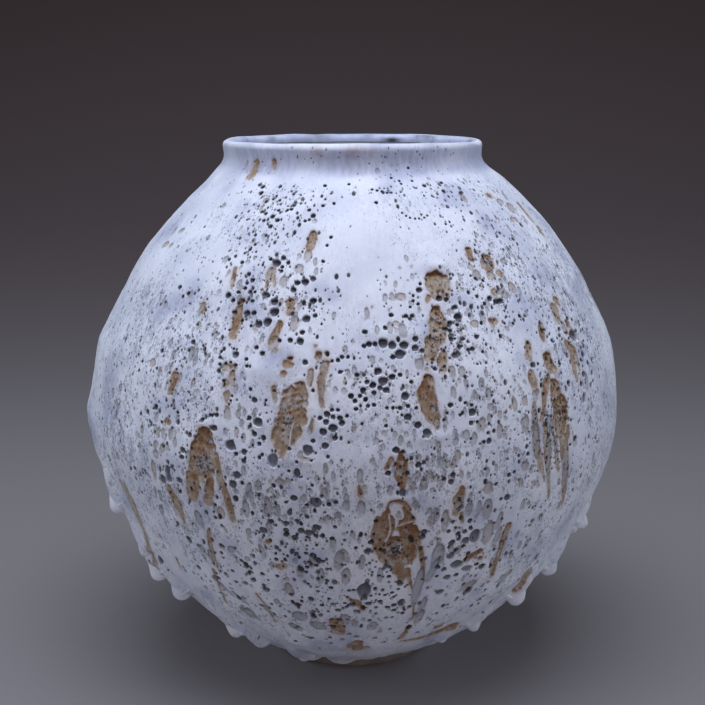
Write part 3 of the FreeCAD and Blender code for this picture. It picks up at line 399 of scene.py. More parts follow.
# bare patches: depth in mm, tone (0 pale to 1 brown) and the strokes that they are made of
PATCHES = [
    (0.7, .45, [(256.5, 164, 3.2), (251, 175, 3.8)]), (0.7, .5, [(274.4, 162, 2.5), (274, 168, 2.4)]),
    # left shoulder
    (1.8, .5, [(313, 232, 3.4), (312, 240, 5.2), (310, 246, 4.6)]), (0.7, .5, [(234.2, 268, 2.3), (232, 278, 2.2), (230.4, 287, 1.3)]),
    (1.0, .4, [(270.5, 271, 5.0), (270.5, 276, 4.8)]), (0.6, .35, [(268, 279, 2.2), (265.6, 286, 1.3)]), (0.6, .35, [(273, 279, 2.2), (274.4, 285, 1.3)]),
    (3.4, .9, [(240.6, 299.7, 3.7)]), (1.1, .55, [(238, 308, 4.4), (236, 317, 5.4), (234, 327, 5.0), (233, 334, 3.4)]),
    (0.7, .4, [(201.7, 303.2, 2.6), (201.7, 309, 2.6)]), (0.9, .5, [(289.7, 301.5, 4.4), (289.7, 311, 4.6)]),
    (1.0, .6, [(280, 323, 3.6), (275, 333, 4.0), (271, 341, 3.6)]), (0.4, .3, [(276, 350, 3.0)]), (0.7, .4, [(232.3, 334.8, 4.4)]),
    # the two round hollows over the big patch
    (2.8, .95, [(290.6, 358.2, 3.4)]), (0.8, .6, [(286, 364, 4.4), (290, 365, 3.6)]),
    (2.4, .7, [(318.7, 353.6, 4.0), (318.7, 357, 4.2)]), (0.6, .4, [(315.3, 346, 2.3)]), (0.6, .4, [(326, 353, 2.6)]),
    # upper right
    (1.3, .6, [(467.6, 250.6, 3.0), (470.7, 260.8, 2.4)]), (1.1, .5, [(486, 260, 4.8), (486, 265, 6.6)]),
    (0.6, .45, [(498.8, 274.2, 3.0)]), (0.8, .55, [(493.6, 292.8, 3.6)]), (0.6, .5, [(488.6, 197, 2.5)]),
    (0.7, .5, [(517.9, 205.3, 1.8), (524, 213, 2.2), (531.3, 222.5, 2.0)]), (0.6, .5, [(537, 229, 2.0), (541, 235, 2.2)]),
    # the column right of the middle
    (2.4, 1.0, [(430, 276, 4.4), (436, 274.5, 4.6), (443, 277.5, 4.2)]), (1.2, .48, [(430, 281, 5.4), (434, 287, 8.4), (438, 293, 9.0)]),
    (1.0, .4, [(444, 283, 6), (446, 291, 4.6)]), (0.7, .35, [(428.5, 297, 3.2), (427, 302, 2)]), (0.7, .35, [(447, 297, 2.6)]),
    (2.4, 1.0, [(436, 310.5, 5.0)]), (1.3, .62, [(437, 316, 7.2), (436, 323, 8.8), (438, 330, 9.6), (440, 337, 7.4), (432, 342, 7.6), (431, 349, 8.0), (429, 357, 5.8)]),
    (0.9, .4, [(443, 353, 3.6), (442.5, 362, 5.2), (442, 371, 3.6)]),
    (0.5, .4, [(426.5, 369.3, 2.4)]), (1.3, .80, [(428.4, 380, 5.8), (426, 393, 8.6), (428.4, 406, 9.4), (433.5, 418, 6.0), (436.5, 427, 2.4)]),
    (0.8, .55, [(494.5, 321.5, 3.2), (490, 321, 2.2)]), (0.9, .5, [(527.6, 344.5, 2.8), (527.8, 351, 3.4), (527.3, 357, 3.2)]),
    # the big patch left of the middle
    (1.5, .38, [(287, 393.5, 5.4), (300, 387, 6.4), (302, 396, 6.6), (287, 402, 6.4), (284, 411, 5.6), (301, 405, 6.8)]),
    (1.6, .68, [(284, 417, 7.2), (300.4, 411, 7.0), (299, 420, 7.8), (284, 425, 9.4),
                (296.5, 431, 6.4), (292.5, 442, 3.2), (281, 434, 10.4), (279.5, 439, 9.6), (281, 447, 6.6), (283.4, 457, 3.4)]),
    (0.9, .4, [(274, 388, 3.4), (275.6, 402, 1.6)]), (0.6, .5, [(283.6, 374, 3.4)]), (1.0, .45, [(311, 371, 3.6), (309.8, 384, 3.6)]),
    (1.0, .45, [(326.3, 363, 4.6), (321.5, 378, 4.4), (321, 391, 4.0), (322.5, 407, 1.8)]), (0.8, .5, [(311, 421, 3.2), (311, 432, 1.6)]),
    (0.6, .45, [(301.5, 457.5, 2.0), (307.5, 459, 2.2)]),
    # left
    (1.0, .4, [(226, 367, 4.6), (231, 368.5, 4.8)]), (0.8, .4, [(231.5, 374, 3.2), (232.4, 385, 2.4)]), (0.8, .4, [(224.6, 383.6, 3.8)]),
    (0.8, .45, [(226.8, 395, 3.6), (226.6, 403, 1.6)]), (0.9, .6, [(174, 374.5, 3.6), (171.5, 383.6, 3.2), (167.7, 393, 1.6)]), (0.7, .5, [(177.8, 379, 1.6)]),
    (1.8, .95, [(204, 436, 8.6), (203, 446, 12)]), (1.4, .75, [(202.6, 455, 13.6), (202, 468, 13.2)]), (0.8, .4, [(216, 456, 3.4), (219, 470, 3.2), (221, 486, 2.6)]),
    (1.0, .6, [(208.6, 478, 5.6), (208.6, 501, 4.4)]), (0.9, .6, [(194, 478, 7.0), (192, 494, 6.0)]), (0.9, .50, [(169, 487, 2.6), (173, 495, 4.0), (178, 505, 4.4), (181, 514, 2.4), (184.4, 524, 1.2)]),
    (0.9, .36, [(222, 482, 3.0), (227, 498, 3.6), (233, 521, 3.3)]), (0.7, .4, [(166.5, 421.8, 3.0)]), (0.6, .04, [(120, 482, 2.2), (128, 499, 3.4), (136, 517, 3.4), (143, 535, 2.8), (149, 554, 2.4), (154, 572, 1.4)]),
    (0.5, .5, [(124, 485, 1.3), (133, 505, 1.3), (140, 524, 1.2)]), (0.5, .5, [(174, 560, 1.0), (179, 570, 0.9)]),
    # low middle
    (1.2, .95, [(400.6, 454.5, 2.8), (401.6, 463, 6.2), (401, 474, 6.8), (402.6, 485, 3.6)]), (0.8, .6, [(391, 460, 3.2), (385.8, 468.5, 2.2)]),
    (0.6, .7, [(358.9, 486, 1.9), (360.6, 496, 2.8)]), (0.8, .5, [(462, 489, 3.4), (458, 501, 5.6), (456, 514, 3.6)]), (0.6, .45, [(461, 514, 2.2), (462, 522, 2)]),
    (1.0, .85, [(388.5, 508, 3.2), (391, 502.5, 2.8), (398, 500.4, 2.6), (404.6, 503.4, 3.0), (408.4, 510, 3.2)]),
    (1.1, .8, [(391, 512, 6), (385.5, 523, 9.4), (382, 535, 10), (383, 547, 10), (388, 557, 9)]),
    (1.6, 1.0, [(404, 511, 5.4), (407, 519, 8.0), (404, 527, 7.4)]), (1.3, .85, [(409, 533, 10.0), (409, 546, 11.4), (406, 558, 9.6)]),
    (1.1, .8, [(396, 544, 10), (396, 558, 9.6), (399, 570, 6.4), (402, 580, 3.6)]), (0.9, .75, [(407, 571, 4.6), (410.5, 583, 2.4), (413, 593, 1.3)]), (0.6, .6, [(414.6, 601, 1.2), (414, 612, 1.9), (412.6, 619, 1.3)]), (0.8, .6, [(409.6, 626, 1.6), (404.6, 634, 2.6), (400, 639, 3.4)]),
    (0.8, .34, [(420, 548, 3.2), (422.6, 566, 2.0), (424.6, 582, 1.0)]), (0.7, .7, [(378, 518, 2.6), (372, 536, 2.2)]),
    (0.9, .48, [(508.6, 526, 3.3), (504.8, 534, 3.3), (501, 551, 2.8), (496, 563, 2.8), (492, 577, 1.8)]),
    (1.1, .9, [(480.5, 551.8, 2.8), (474, 555.4, 3.6), (466, 561, 2.4)]), (0.9, .85, [(480.5, 559, 2.8)]), (0.8, .6, [(526.4, 574.4, 2.8), (519, 585.6, 2.6), (515, 590, 1.8)]),
    (0.9, .7, [(455, 627, 5.0), (449, 629, 5.2), (440, 633, 5.2), (428, 637, 4.0), (415, 640, 3.2), (402, 642, 2.6)]), (0.7, .6, [(438.4, 628, 4.4)]),
    (0.5, .55, [(336.2, 621.5, 7.2), (337.2, 631.5, 8.0)]), (0.8, .6, [(350, 645.5, 4.4), (357, 642.6, 5.8), (357.6, 649.0, 5.8), (365, 647.6, 4.2)]),
    (0.6, .5, [(278, 567, 3.4), (283.5, 567, 3.6)]), (0.4, .5, [(281.4, 605.4, 1.8)]), (0.7, .9, [(268, 542.3, 2.8)]),
    (0.8, .9, [(351, 600.5, 2.2), (357, 603, 4.2), (362.5, 610, 2.2)]), (0.7, .48, [(208, 532, 2.0), (209.5, 545, 2.8), (211.5, 555, 2.4), (212.5, 566, 1.4)]),
    (0.4, .5, [(212.5, 571, 1.6), (219, 588, 1.0), (225.3, 604.8, 1.2)]), (0.4, .35, [(255.9, 594.6, 1.3), (264, 604, 1.1), (275, 624, 0.9)]),
    # the group on the right
    (0.8, .5, [(555, 301.5, 3.2)]), (0.9, .5, [(552.8, 307.5, 2.6), (555.5, 314, 3.6), (558.4, 321, 2.4)]), (0.8, .8, [(566.5, 324.2, 2.6)]),
    (2.0, 1.0, [(565.6, 332.7, 1.9)]), (0.9, .45, [(566.8, 346, 3.6), (571, 351, 4.0), (574.5, 361, 2.6), (578, 369, 1.6)]),
    (0.8, .45, [(571.6, 359, 2.6), (573, 371, 2.3), (575.5, 381, 1.4)]), (1.4, .7, [(546.8, 358.5, 4.2), (548.6, 366, 4.6), (553.5, 370.5, 2.8)]),
    (0.9, .5, [(530, 376, 3.8), (533, 385.6, 3.2)]), (0.6, .4, [(540.5, 325, 2.2), (541, 333, 2.4), (542, 341, 1.8)]),
    (0.9, .5, [(547, 377.5, 1.9), (544.2, 386, 3.6), (542.4, 395, 2.4), (543, 410, 1.9), (541, 421, 1.5)]), (1.4, .95, [(553, 385, 4.2), (554.4, 392.5, 5.4)]),
    (0.9, .6, [(553, 401, 4.2)]), (1.3, .70, [(559.5, 405, 7.0), (560, 417, 7.6), (561, 431, 5.2)]), (0.7, .6, [(567.6, 427, 2.0), (567.6, 436, 2.0)]),
    (0.6, .5, [(536, 392, 2.6)]), (0.7, .12, [(533, 404, 2.2), (535, 424, 3.0), (537, 447, 3.4), (540, 466, 3.0), (543, 480, 1.6)]), (0.7, .34, [(545, 424, 2.0), (546.6, 442, 3.2), (547, 463, 3.0), (547, 481, 2.0), (547.6, 497, 1.0)]),
    (0.8, .42, [(563, 438, 4.4), (564.6, 455, 4.4), (564.4, 471, 3.6), (562.8, 488, 2.6), (561.5, 504, 1.4)]), (0.6, .3, [(555, 438, 2.0), (556, 456, 2.2), (557, 470, 1.4)]),
    (0.8, .9, [(544.6, 425.5, 2.6)]), (0.5, .5, [(583.3, 278.6, 1.1), (589.5, 292, 1.0)]), (0.5, .5, [(601, 317.8, 1.3)]), (0.6, .7, [(614.2, 403, 1.2), (614.6, 416, 1.3)]),
]

# white ridges left standing in or between bare patches
RIDGES = [
    [(293.4, 424, 0.5), (290.6, 433, 0.7), (289.4, 449, 1.1)], [(290.6, 381, 0.9), (295.4, 388, 0.5)], [(316.5, 362, 1.3), (314.5, 384, 1.2), (313, 404, 1.6), (306, 436, 1.6)],
    [(279, 386, 1.0), (278, 402, 1.2), (271, 424, 1.2)], [(388.7, 515, 0.6), (390.4, 526, 0.8), (389.6, 534, 0.8), (385, 542.5, 0.6)], [(415, 521, 0.6), (404, 524, 0.7), (396, 527, 0.6)],
    [(393, 506, 4.6), (396, 511, 6.6), (399, 516, 5.0)], [(399.5, 545, 1.2), (401, 552, 0.9)], [(411, 566, 1.0), (414.6, 590, 1.6), (416, 612, 1.8)], [(431, 316, 0.4), (440, 322, 0.5)],
    [(434, 302.6, 1.6), (446, 303, 1.8)], [(424, 334.8, 0.9), (430, 336, 0.6), (438, 339, 0.4)], [(205.6, 480, 1.0), (201, 500, 1.4)], [(557, 398, 0.5), (550, 399, 0.5)],
    [(550, 404, 0.9), (551, 424, 1.0)], [(505, 534, 0.6), (498, 558, 0.6)], [(562.6, 323.4, 2.2), (564, 328, 2.0)],
]

# grey pitted places inside bare patches: x, y, rx, ry
PITTED = [(203.6, 464, 9, 11), (395, 552.7, 7.5, 4.8), (398, 548, 6, 8), (433.5, 409.5, 3.2, 5), (303, 398.5, 5.0, 1.8), (293, 403, 6.0, 2.0),
          (210, 441, 5, 4), (288, 420, 6, 7), (486, 262, 4.6, 4.6), (322, 392, 1.8, 9),
          (535.5, 436, 4.4, 38), (547, 466, 3.6, 30), (564.5, 470, 4.0, 30), (556, 454, 3, 18), (209.5, 552, 2.6, 10), (458, 503, 3.4, 9)]

# smooth raised mounds: x, y, rx, ry, height in mm
MOUNDS = [
    (396, 334, 36, 8, 1.5), (432, 437, 22, 7, 1.8), (252, 372, 18, 22, 0.9), (262, 306, 12, 10, 0.7), (350, 425, 40, 16, 0.6),
    (204, 423, 15, 6, 1.3), (398, 500, 18, 6, 1.3), (436, 266, 12, 5, 1.3), (300, 462, 30, 7, 1.1), (268, 372, 26, 9, 1.0),
    (470, 575, 30, 12, 1.2), (425, 560, 10, 22, 0.6), (330, 590, 40, 14, 0.7), (230, 585, 26, 14, 0.9), (540, 493, 10, 16, 2.0),
    (548, 347, 12, 5, 1.4), (500, 590, 30, 8, 1.2), (250, 470, 10, 22, 0.7), (545, 290, 16, 24, 0.7), (160, 300, 30, 40, 0.6),
    (345, 520, 18, 26, 0.5), (455, 460, 18, 26, 0.5), (497, 370, 16, 22, 0.7), (350, 232, 50, 20, 0.7), (498, 304, 8, 3, 1.2),
    (440, 610, 26, 8, 1.0), (298, 642, 13, 4.5, 2.2), (320, 647.5, 15, 4.5, 2.4), (341, 646.5, 11, 4, 1.8), (386, 652, 22, 4, 0.8),
    (258, 422, 9, 10, 0.9), (455, 598, 40, 7, 0.9),
]

# where small holes, blisters and stipple gather: x, y, rx, ry, holes, blisters
ZONES = [
    (285, 198, 42, 22, 130, 3), (262, 235, 40, 25, 130, 14), (250, 290, 38, 32, 110, 24), (300, 300, 30, 40, 80, 18),
    (200, 330, 42, 45, 110, 50), (140, 215, 34, 40, 130, 10), (120, 325, 28, 60, 230, 30), (108, 420, 24, 54, 150, 14),
    (180, 408, 42, 30, 90, 18), (240, 430, 42, 45, 90, 16), (160, 480, 45, 30, 90, 22), (400, 178, 46, 18, 150, 2),
    (460, 200, 40, 25, 110, 14), (502, 240, 40, 30, 140, 26), (470, 300, 40, 40, 150, 44), (450, 342, 30, 35, 110, 26),
    (540, 300, 40, 50, 170, 20), (580, 340, 28, 55, 210, 20), (596, 430, 16, 55, 130, 14), (490, 400, 40, 45, 110, 56),
    (530, 450, 35, 45, 100, 44), (380, 385, 45, 35, 70, 14), (330, 440, 40, 40, 30, 6), (430, 462, 42, 34, 70, 70),
    (250, 520, 50, 35, 90, 34), (300, 545, 42, 30, 120, 12), (220, 570, 40, 25, 60, 12), (380, 600, 45, 30, 70, 10),
    (455, 550, 36, 30, 50, 16), (320, 620, 60, 20, 70, 12), (520, 540, 40, 40, 100, 26), (480, 600, 40, 20, 60, 10),
    (345, 300, 42, 60, 30, 4), (400, 152, 60, 8, 40, 0), (250, 178, 22, 20, 50, 3), (350, 365, 30, 24, 26, 12),
    (440, 520, 40, 40, 30, 34), (330, 480, 60, 40, 40, 30), (575, 500, 14, 40, 80, 10), (150, 560, 14, 20, 40, 6),
    (552, 420, 12, 40, 90, 4), (561, 408, 7, 24, 30, 0), (556, 430, 9, 20, 14, 0), (548, 372, 12, 16, 14, 0), (560, 250, 20, 30, 120, 8), (210, 250, 36, 26, 40, 2), (180, 360, 40, 30, 60, 30),
    (400, 300, 30, 30, 20, 16), (250, 600, 50, 24, 60, 8), (420, 620, 40, 20, 50, 6), (330, 600, 60, 24, 56, 8), (200, 560, 30, 24, 40, 8), (375, 560, 26, 24, 50, 4), (150, 430, 24, 40, 50, 26), (300, 160, 50, 8, 50, 0),
]

# runs that stand proud of the coat, as the construction has them:
# azimuth in degrees, bead height, bead radius, length of the run above it
DRIPS = [
    (-64.4, 161.0, 7.0, 26.0), (-61.4, 121.0, 6.0, 22.0), (-64.5, 97.0, 8.0, 30.0), (-54.7, 88.0, 8.0, 24.0),
    (-43.7, 54.0, 7.0, 24.0), (-37.2, 44.0, 8.0, 24.0), (-24.5, 24.0, 7.0, 22.0), (67.2, 141.0, 5.6, 14.0),
    (63.0, 103.0, 7.5, 22.0), (49.5, 90.0, 8.0, 26.0), (43.0, 60.0, 6.0, 18.0), (32.0, 52.0, 5.5, 16.0),
    (82.0, 118.0, 6.5, 24.0), (97.0, 150.0, 6.0, 20.0), (112.0, 92.0, 8.0, 28.0), (131.0, 128.0, 6.5, 22.0),
    (149.0, 78.0, 7.5, 26.0), (166.0, 112.0, 7.0, 26.0), (-174.0, 66.0, 7.5, 24.0), (-156.0, 139.0, 6.0, 20.0),
    (-139.0, 84.0, 8.0, 28.0), (-121.0, 106.0, 6.5, 22.0), (-104.0, 72.0, 7.5, 24.0), (-88.0, 132.0, 6.5, 24.0),
]

# the outline of the photographed jar against a true round one, mm, by arc length:
# its left shoulder is flatter, its right one fuller, and the glaze thins low down
OUT_LEFT = [(0, 0), (69, -0.8), (83, -1.6), (97, -3.0), (109, -3.4), (132, -3.0), (151, -2.0), (171, -2.5), (190, -3.6), (204, -3.1), (216, -1.5),
            (234, -1.8), (251, 0.0), (267, 0.2), (275, 1.6), (284, 1.7), (291, -0.4), (298, -1.9), (314, -2.7), (331, -2.0), (345, -1.0), (357, -3.0),
            (376, -4.4), (394, -4.2), (414, -3.0), (434, -3.0), (456, -3.7), (478, -4.0), (503, -3.6), (516, -3.0), (529, -1.2), (541, 0)]
OUT_RIGHT = [(0, 0), (69, -2.6), (83, -1.8), (97, -3.6), (109, -4.0), (121, -2.5), (132, -2.0), (151, -1.5), (163, -1.5), (180, -2.8), (199, -2.3),
             (225, 0.0), (243, 1.0), (267, 0.9), (298, -0.3), (323, 1.0), (340, 2.3), (357, 1.8), (384, 0.5), (404, 2.0), (434, 1.3), (456, 2.0),
             (478, 1.2), (516, 1.8), (529, 0.4), (541, -0.8)]

# pinkish stains and darker washes on the neck and lip: x, y, rx, ry, strength
STAINS = [(318, 154, 5, 9, 1.1), (313, 152, 2.4, 10, .9), (357, 152, 11, 7, 1.2), (348, 155, 3.2, 12, 1.1), (300, 150, 5, 4, .4), (371, 151, 5, 8, .6), (262, 346, 16, 10, .45), (250, 168, 6, 8, .5), (285, 372, 14, 10, .5),
          (400, 500, 16, 7, .5), (436, 270, 12, 6, .4), (204, 426, 13, 6, .5), (565, 325, 7, 7, .7), (330, 160, 3, 6, .5), (395, 509, 9, 9, .75)]

# ---------------------------------------------------------------------------
# Features in jar coordinates (azimuth, arc length mm, sizes mm)
# ---------------------------------------------------------------------------
rng = np.random.default_rng(20)
bowls, lenses, holes, patches, ridges, pitted, mounds = [], [], [], [], [], [], []

_b = np.array([b + ((0.0,) if len(b) == 3 else ()) for b in BOWLS], float)
_a, _s, _ju, _jv = pick(_b[:, 0], _b[:, 1])
for i in range(len(_b)):
    r = _b[i, 2] / max(_ju[i], _jv[i])
    bowls.append((_a[i], _s[i], r, r * rng.uniform(0.95, 1.12), _b[i, 3]))
_b = np.array(WIDE_BOWLS, float)
_a, _s, _ju, _jv = pick(_b[:, 0], _b[:, 1])
for i in range(len(_b)):
    bowls.append((_a[i], _s[i], _b[i, 2] / max(_ju[i], 0.6), _b[i, 3] / max(_jv[i], 0.6), 0.45))
_b = np.array(LENSES, float)
_a, _s, _ju, _jv = pick(_b[:, 0], _b[:, 1])
for i in range(len(_b)):
    lenses.append((_a[i], _s[i], _b[i, 2] / max(_ju[i], 0.6), _b[i, 3] / max(_jv[i], 0.6), _b[i, 4], -_b[i, 5]))


def strokes(line):
    q = np.array(line, float)
    a, s, ju, jv = pick(q[:, 0], q[:, 1])
    return [(a[i], s[i], q[i, 2] / max(ju[i], 0.75)) for i in range(len(q))]


for depth, shade, line in PATCHES:
    patches.append((depth, shade, strokes(line)))
for line in RIDGES:
    ridges.append(strokes(line))
_b = np.array(PITTED, float)
_a, _s, _ju, _jv = pick(_b[:, 0], _b[:, 1])
for i in range(len(_b)):
    pitted.append((_a[i], _s[i], _b[i, 2] / max(_ju[i], 0.6), _b[i, 3] / max(_jv[i], 0.6)))
_b = np.array(MOUNDS, float)
_a, _s, _ju, _jv = pick(_b[:, 0], _b[:, 1])
for i in range(len(_b)):
    mounds.append((_a[i], _s[i], _b[i, 2] / max(_ju[i], 0.5), _b[i, 3] / max(_jv[i], 0.5), _b[i, 4]))


def hole_size():
    return float(np.clip(0.66 * math.exp(0.40 * rng.standard_normal()), 0.42, 1.6))


def blister():
    r = float(np.clip(1.25 * math.exp(0.34 * rng.standard_normal()), 0.7, 2.6))
    return r, r * rng.uniform(1.2, 2.4), float(np.clip(rng.normal(0.28, 0.28), 0, 1)), rng.normal(0, 0.12)


for x, y, rx, ry, n_h, n_l in ZONES:
    big_low = 1.32 if y > 505 else 0.92
    n_h = int(n_h * (0.72 if y > 505 else 0.95))
    n = n_h + n_l
    g = rng.standard_normal((n, 2)) * 0.62
    a, s, ju, jv = pick(x + g[:, 0] * rx, y + g[:, 1] * ry)
    for i in range(n):
        if abs(a[i]) > 1.27:
            a[i] += math.copysign(abs(rng.normal(0, 0.17)), a[i])
            s[i] = min(max(s[i] + rng.normal(0, 7), 6.0), S_BODY + 6.0)
        if i < n_h:
            if s[i] > S_BODY - 9:
                if rng.uniform() < 0.30:
                    holes.append((a[i], s[i], rng.uniform(0.34, 0.55)))
            else:
                holes.append((a[i], s[i], hole_size() * big_low))
        else:
            ru, rv, w, sl = blister()
            lenses.append((a[i], s[i], ru, rv, w, sl))

# the side and the back that the photograph does not show: the same kinds of
# places, moved round the jar and re-arranged
front_b, front_l, front_h = list(bowls), list(lenses), list(holes)
front_p, front_r, front_t, front_m = list(patches), list(ridges), list(pitted), list(mounds)


def round_to_back(a, s, turn=math.pi):
    v = s + 20.0 * math.sin(2.3 * a + 0.7) + 9.0 * math.sin(5.1 * a + 2.0)
    over = v - (S_BODY - 16.0)
    if over > 0:
        v -= (1.9 + 0.6 * math.sin(11.0 * a)) * over
    if v < 10.0:
        v = 20.0 - v
    return a * 1.06 + turn + 0.03 * math.sin(s / 21.0), v


for a, s, ru, rv, lt in front_b:
    if s < S_BODY and rng.uniform() < 0.85:
        a2, s2 = round_to_back(a, s)
        k = rng.uniform(0.75, 1.2)
        bowls.append((a2 + rng.normal(0, 0.006), s2 + rng.normal(0, 1.5), ru * k, rv * k, lt))
for a, s, ru, rv, w, sl in front_l:
    if s < S_BODY and rng.uniform() < 0.85:
        a2, s2 = round_to_back(a, s)
        lenses.append((a2 + rng.normal(0, 0.01), s2 + rng.normal(0, 3), ru * rng.uniform(0.8, 1.2), rv, w, sl))
for a, s, r in front_h:
    if s < S_BODY - 6:
        a2, s2 = round_to_back(a, s)
        holes.append((a2 + rng.normal(0, 0.02), s2 + rng.normal(0, 4), r))
for depth, shade, line in front_p:
    if line[0][1] < S_BODY - 8 and rng.uniform() < 0.9:
        k = rng.uniform(0.8, 1.15)
        patches.append((depth * rng.uniform(0.85, 1.1), shade, [round_to_back(a, s) + (r * k,) for a, s, r in line]))
for line in front_r:
    ridges.append([round_to_back(a, s) + (r,) for a, s, r in line])
for a, s, ru, rv in front_t:
    pitted.append(round_to_back(a, s) + (ru, rv))
for a, s, ru, rv, h in front_m:
    mounds.append(round_to_back(a, s) + (ru, rv, h))

# the two sides, which the photograph shows only edge on
for side in (-1, 1):
    for k in range(6):
        a0 = side * (math.pi / 2 + rng.uniform(-0.14, 0.26))
        s0 = rng.uniform(70, S_BODY - 110)
        for q in range(rng.integers(1, 4)):
            n = rng.integers(2, 5)
            line, aa, s1, r0 = [], a0 + rng.normal(0, 0.05), s0 + rng.uniform(0, 30), rng.uniform(2.0, 4.5)
            for w in range(n):
                line.append((aa, s1, r0))
                aa += rng.normal(0, 0.012)
                s1 -= rng.uniform(6, 13)
                r0 = float(np.clip(r0 * rng.uniform(0.75, 1.3), 1.3, 7.0))
            patches.append((rng.uniform(0.7, 1.5), rng.uniform(0.4, 0.9), line))
        for q in range(rng.integers(10, 20)):
            r = float(np.clip(1.7 * math.exp(0.35 * rng.standard_normal()), 0.9, 3.4))
            bowls.append((a0 + rng.normal(0, 0.075), s0 + rng.normal(8, 17), r, r, 0.1))
        for q in range(34):
            ru, rv, w, sl = blister()
            lenses.append((a0 + rng.normal(0, 0.13), s0 + rng.normal(-10, 26), ru, rv, w, sl))
    for q in range(900):
        holes.append((side * math.pi / 2 + rng.normal(0, 0.24), rng.uniform(30, S_BODY - 20), hole_size()))
for q in range(500):
    holes.append((rng.uniform(-math.pi, math.pi), rng.uniform(14, S_BODY - 6), float(np.clip(0.55 * math.exp(0.35 * rng.standard_normal()), 0.4, 1.2))))
# fine pits on the bare clay
for depth, shade, line in patches:
    for q in range(len(line)):
        a, s, r = line[q]
        rad = float(np.interp(s, ROW_S, ROW_R))
        for _ in range(int(rng.poisson(0.055 * r * r * (0.4 + shade)))):
            t, w = rng.uniform(0, 6.28), r * math.sqrt(rng.uniform(0, 1))
            holes.append((a + w * math.cos(t) / rad, s + w * math.sin(t), rng.uniform(0.32, 0.62)))

# ---------------------------------------------------------------------------
# Rasters over the whole outside: rows climb the profile, columns go round
# ---------------------------------------------------------------------------
SHAPE = (NV + 1, NU)
cut = np.zeros(SHAPE, np.float32)
rim = np.zeros(SHAPE, np.float32)
drop = np.zeros(SHAPE, np.float32)       # slide down the surface, mm
m_slate = np.zeros(SHAPE, np.float32)
# near-black: painted shade in holes, bowls and the upper outlines of blisters; also dark stains inside the lip
m_stain_and_shade = np.zeros(SHAPE, np.float32)
m_lens = np.zeros(SHAPE, np.float32)
m_warm = np.zeros(SHAPE, np.float32)
# dark brown: iron at the edges of bare patches, and painted shadow under their top edges and on the upper rims of
# blisters
m_iron_and_shade = np.zeros(SHAPE, np.float32)
m_crust = np.zeros(SHAPE, np.float32)
patch_d = np.full(SHAPE, 60.0, np.float32)   # distance to a bare patch, mm
patch_h = np.zeros(SHAPE, np.float32)        # its depth
patch_t = np.zeros(SHAPE, np.float32)        # its tone
vein = np.zeros(SHAPE, np.float32)
ridge_d = np.full(SHAPE, 60.0, np.float32)
STEP_A = 2 * math.pi / NU


def window(a, s, hu, hv):
    """Rows, columns and local mm coordinates around a place."""
    i0, i1 = np.searchsorted(ROW_S, [s - hv, s + hv])
    i0, i1 = min(max(int(i0), 0), NV - 1), min(int(i1), NV)
    if i1 - i0 < 1:
        i1 = min(i0 + 1, NV)
    rows = np.arange(i0, i1 + 1)
    rmin = max(ROW_R[rows].min(), 30.0)
    dj = int(math.ceil(hu / rmin / STEP_A))
    a = (a + math.pi) % (2 * math.pi)
    j = np.arange(int(round(a / STEP_A)) - dj, int(round(a / STEP_A)) + dj + 1)
    u = (j * STEP_A - a)[None, :] * ROW_R[rows][:, None]
    v = (ROW_S[rows] - s)[:, None] + 0 * u
    return np.ix_(rows, j % NU), u.astype(np.float32), v.astype(np.float32)


def wobble(u, v, amp):
    th = np.arctan2(v, u)
    p = rng.uniform(0, 6.28, 4)
    return 1 + amp * (0.8 * np.cos(2 * th + p[0]) + 0.7 * np.cos(3 * th + p[1]) + 0.5 * np.cos(4 * th + p[2]) + 0.4 * np.cos(5 * th + p[3]))


# smooth lumps of the thrown and glazed body, held back where the outline is known
w_left = np.clip(np.cos(COL_A + 1.40), 0, 1) ** 1.3
w_right = np.clip(np.cos(COL_A - 1.40), 0, 1) ** 1.3
known = np.maximum(w_left, w_right)[None, :].astype(np.float32)
lumps = (1.05 * field(105, 11) + 0.7 * field(52, 12)) * (1 - 0.75 * known) + 0.40 * field(24, 13, k=4) + 0.24 * field(13, 14, k=4)
low_part = (1 - sstep(ROW_Z, 60, 190))[:, None].astype(np.float32) * sstep(ROW_S, 2, 26)[:, None].astype(np.float32)
lumps += low_part * (0.95 * field(17, 18, along=3.2) + 0.50 * field(8.0, 19, k=2, along=2.6))
streak = field(9.0, 15, k=2, along=5.0)
lumps += 0.18 * streak + 0.11 * field(4.2, 17, k=2, along=3.0) + 0.07 * field(5.5, 16, k=2)
_l = np.array(OUT_LEFT)
_r = np.array(OUT_RIGHT)
for _o, _w, _c in ((_l, w_left, -1.37), (_r, w_right, 1.37)):
    _f = np.interp(np.arange(-60, int(S_ALL) + 61), _o[:, 0], _o[:, 1])
    _g = np.exp(-0.5 * (np.arange(-40, 41) / 13.0) ** 2)
    _low = np.interp(ROW_S, np.arange(-60, int(S_ALL) + 61), np.convolve(np.pad(_f, 40, mode="edge"), _g / _g.sum(), "valid"))
    _fine = np.interp(ROW_S, _o[:, 0], _o[:, 1]) - _low
    _near = np.exp(-((COL_A - _c) / 0.17) ** 2)
    lumps += (_low[:, None] * _w[None, :] + _fine[:, None] * _near[None, :]).astype(np.float32)
for a, s, ru, rv, h in mounds:
    ix, u, v = window(a, s, 2.4 * ru, 2.4 * rv)
    lumps[ix] += h * np.exp(-1.3 * ((u / ru) ** 2 + (v / rv) ** 2))

# the neck is smoother than the body
calm = sstep(ROW_S, S_BODY - 16, S_BODY + 4)[:, None].astype(np.float32)
lumps = lumps * (1 - 0.62 * calm)

# bare patches
warp_a, warp_b = field(8.0, 21, k=2, octaves=2), field(3.0, 22, k=2)


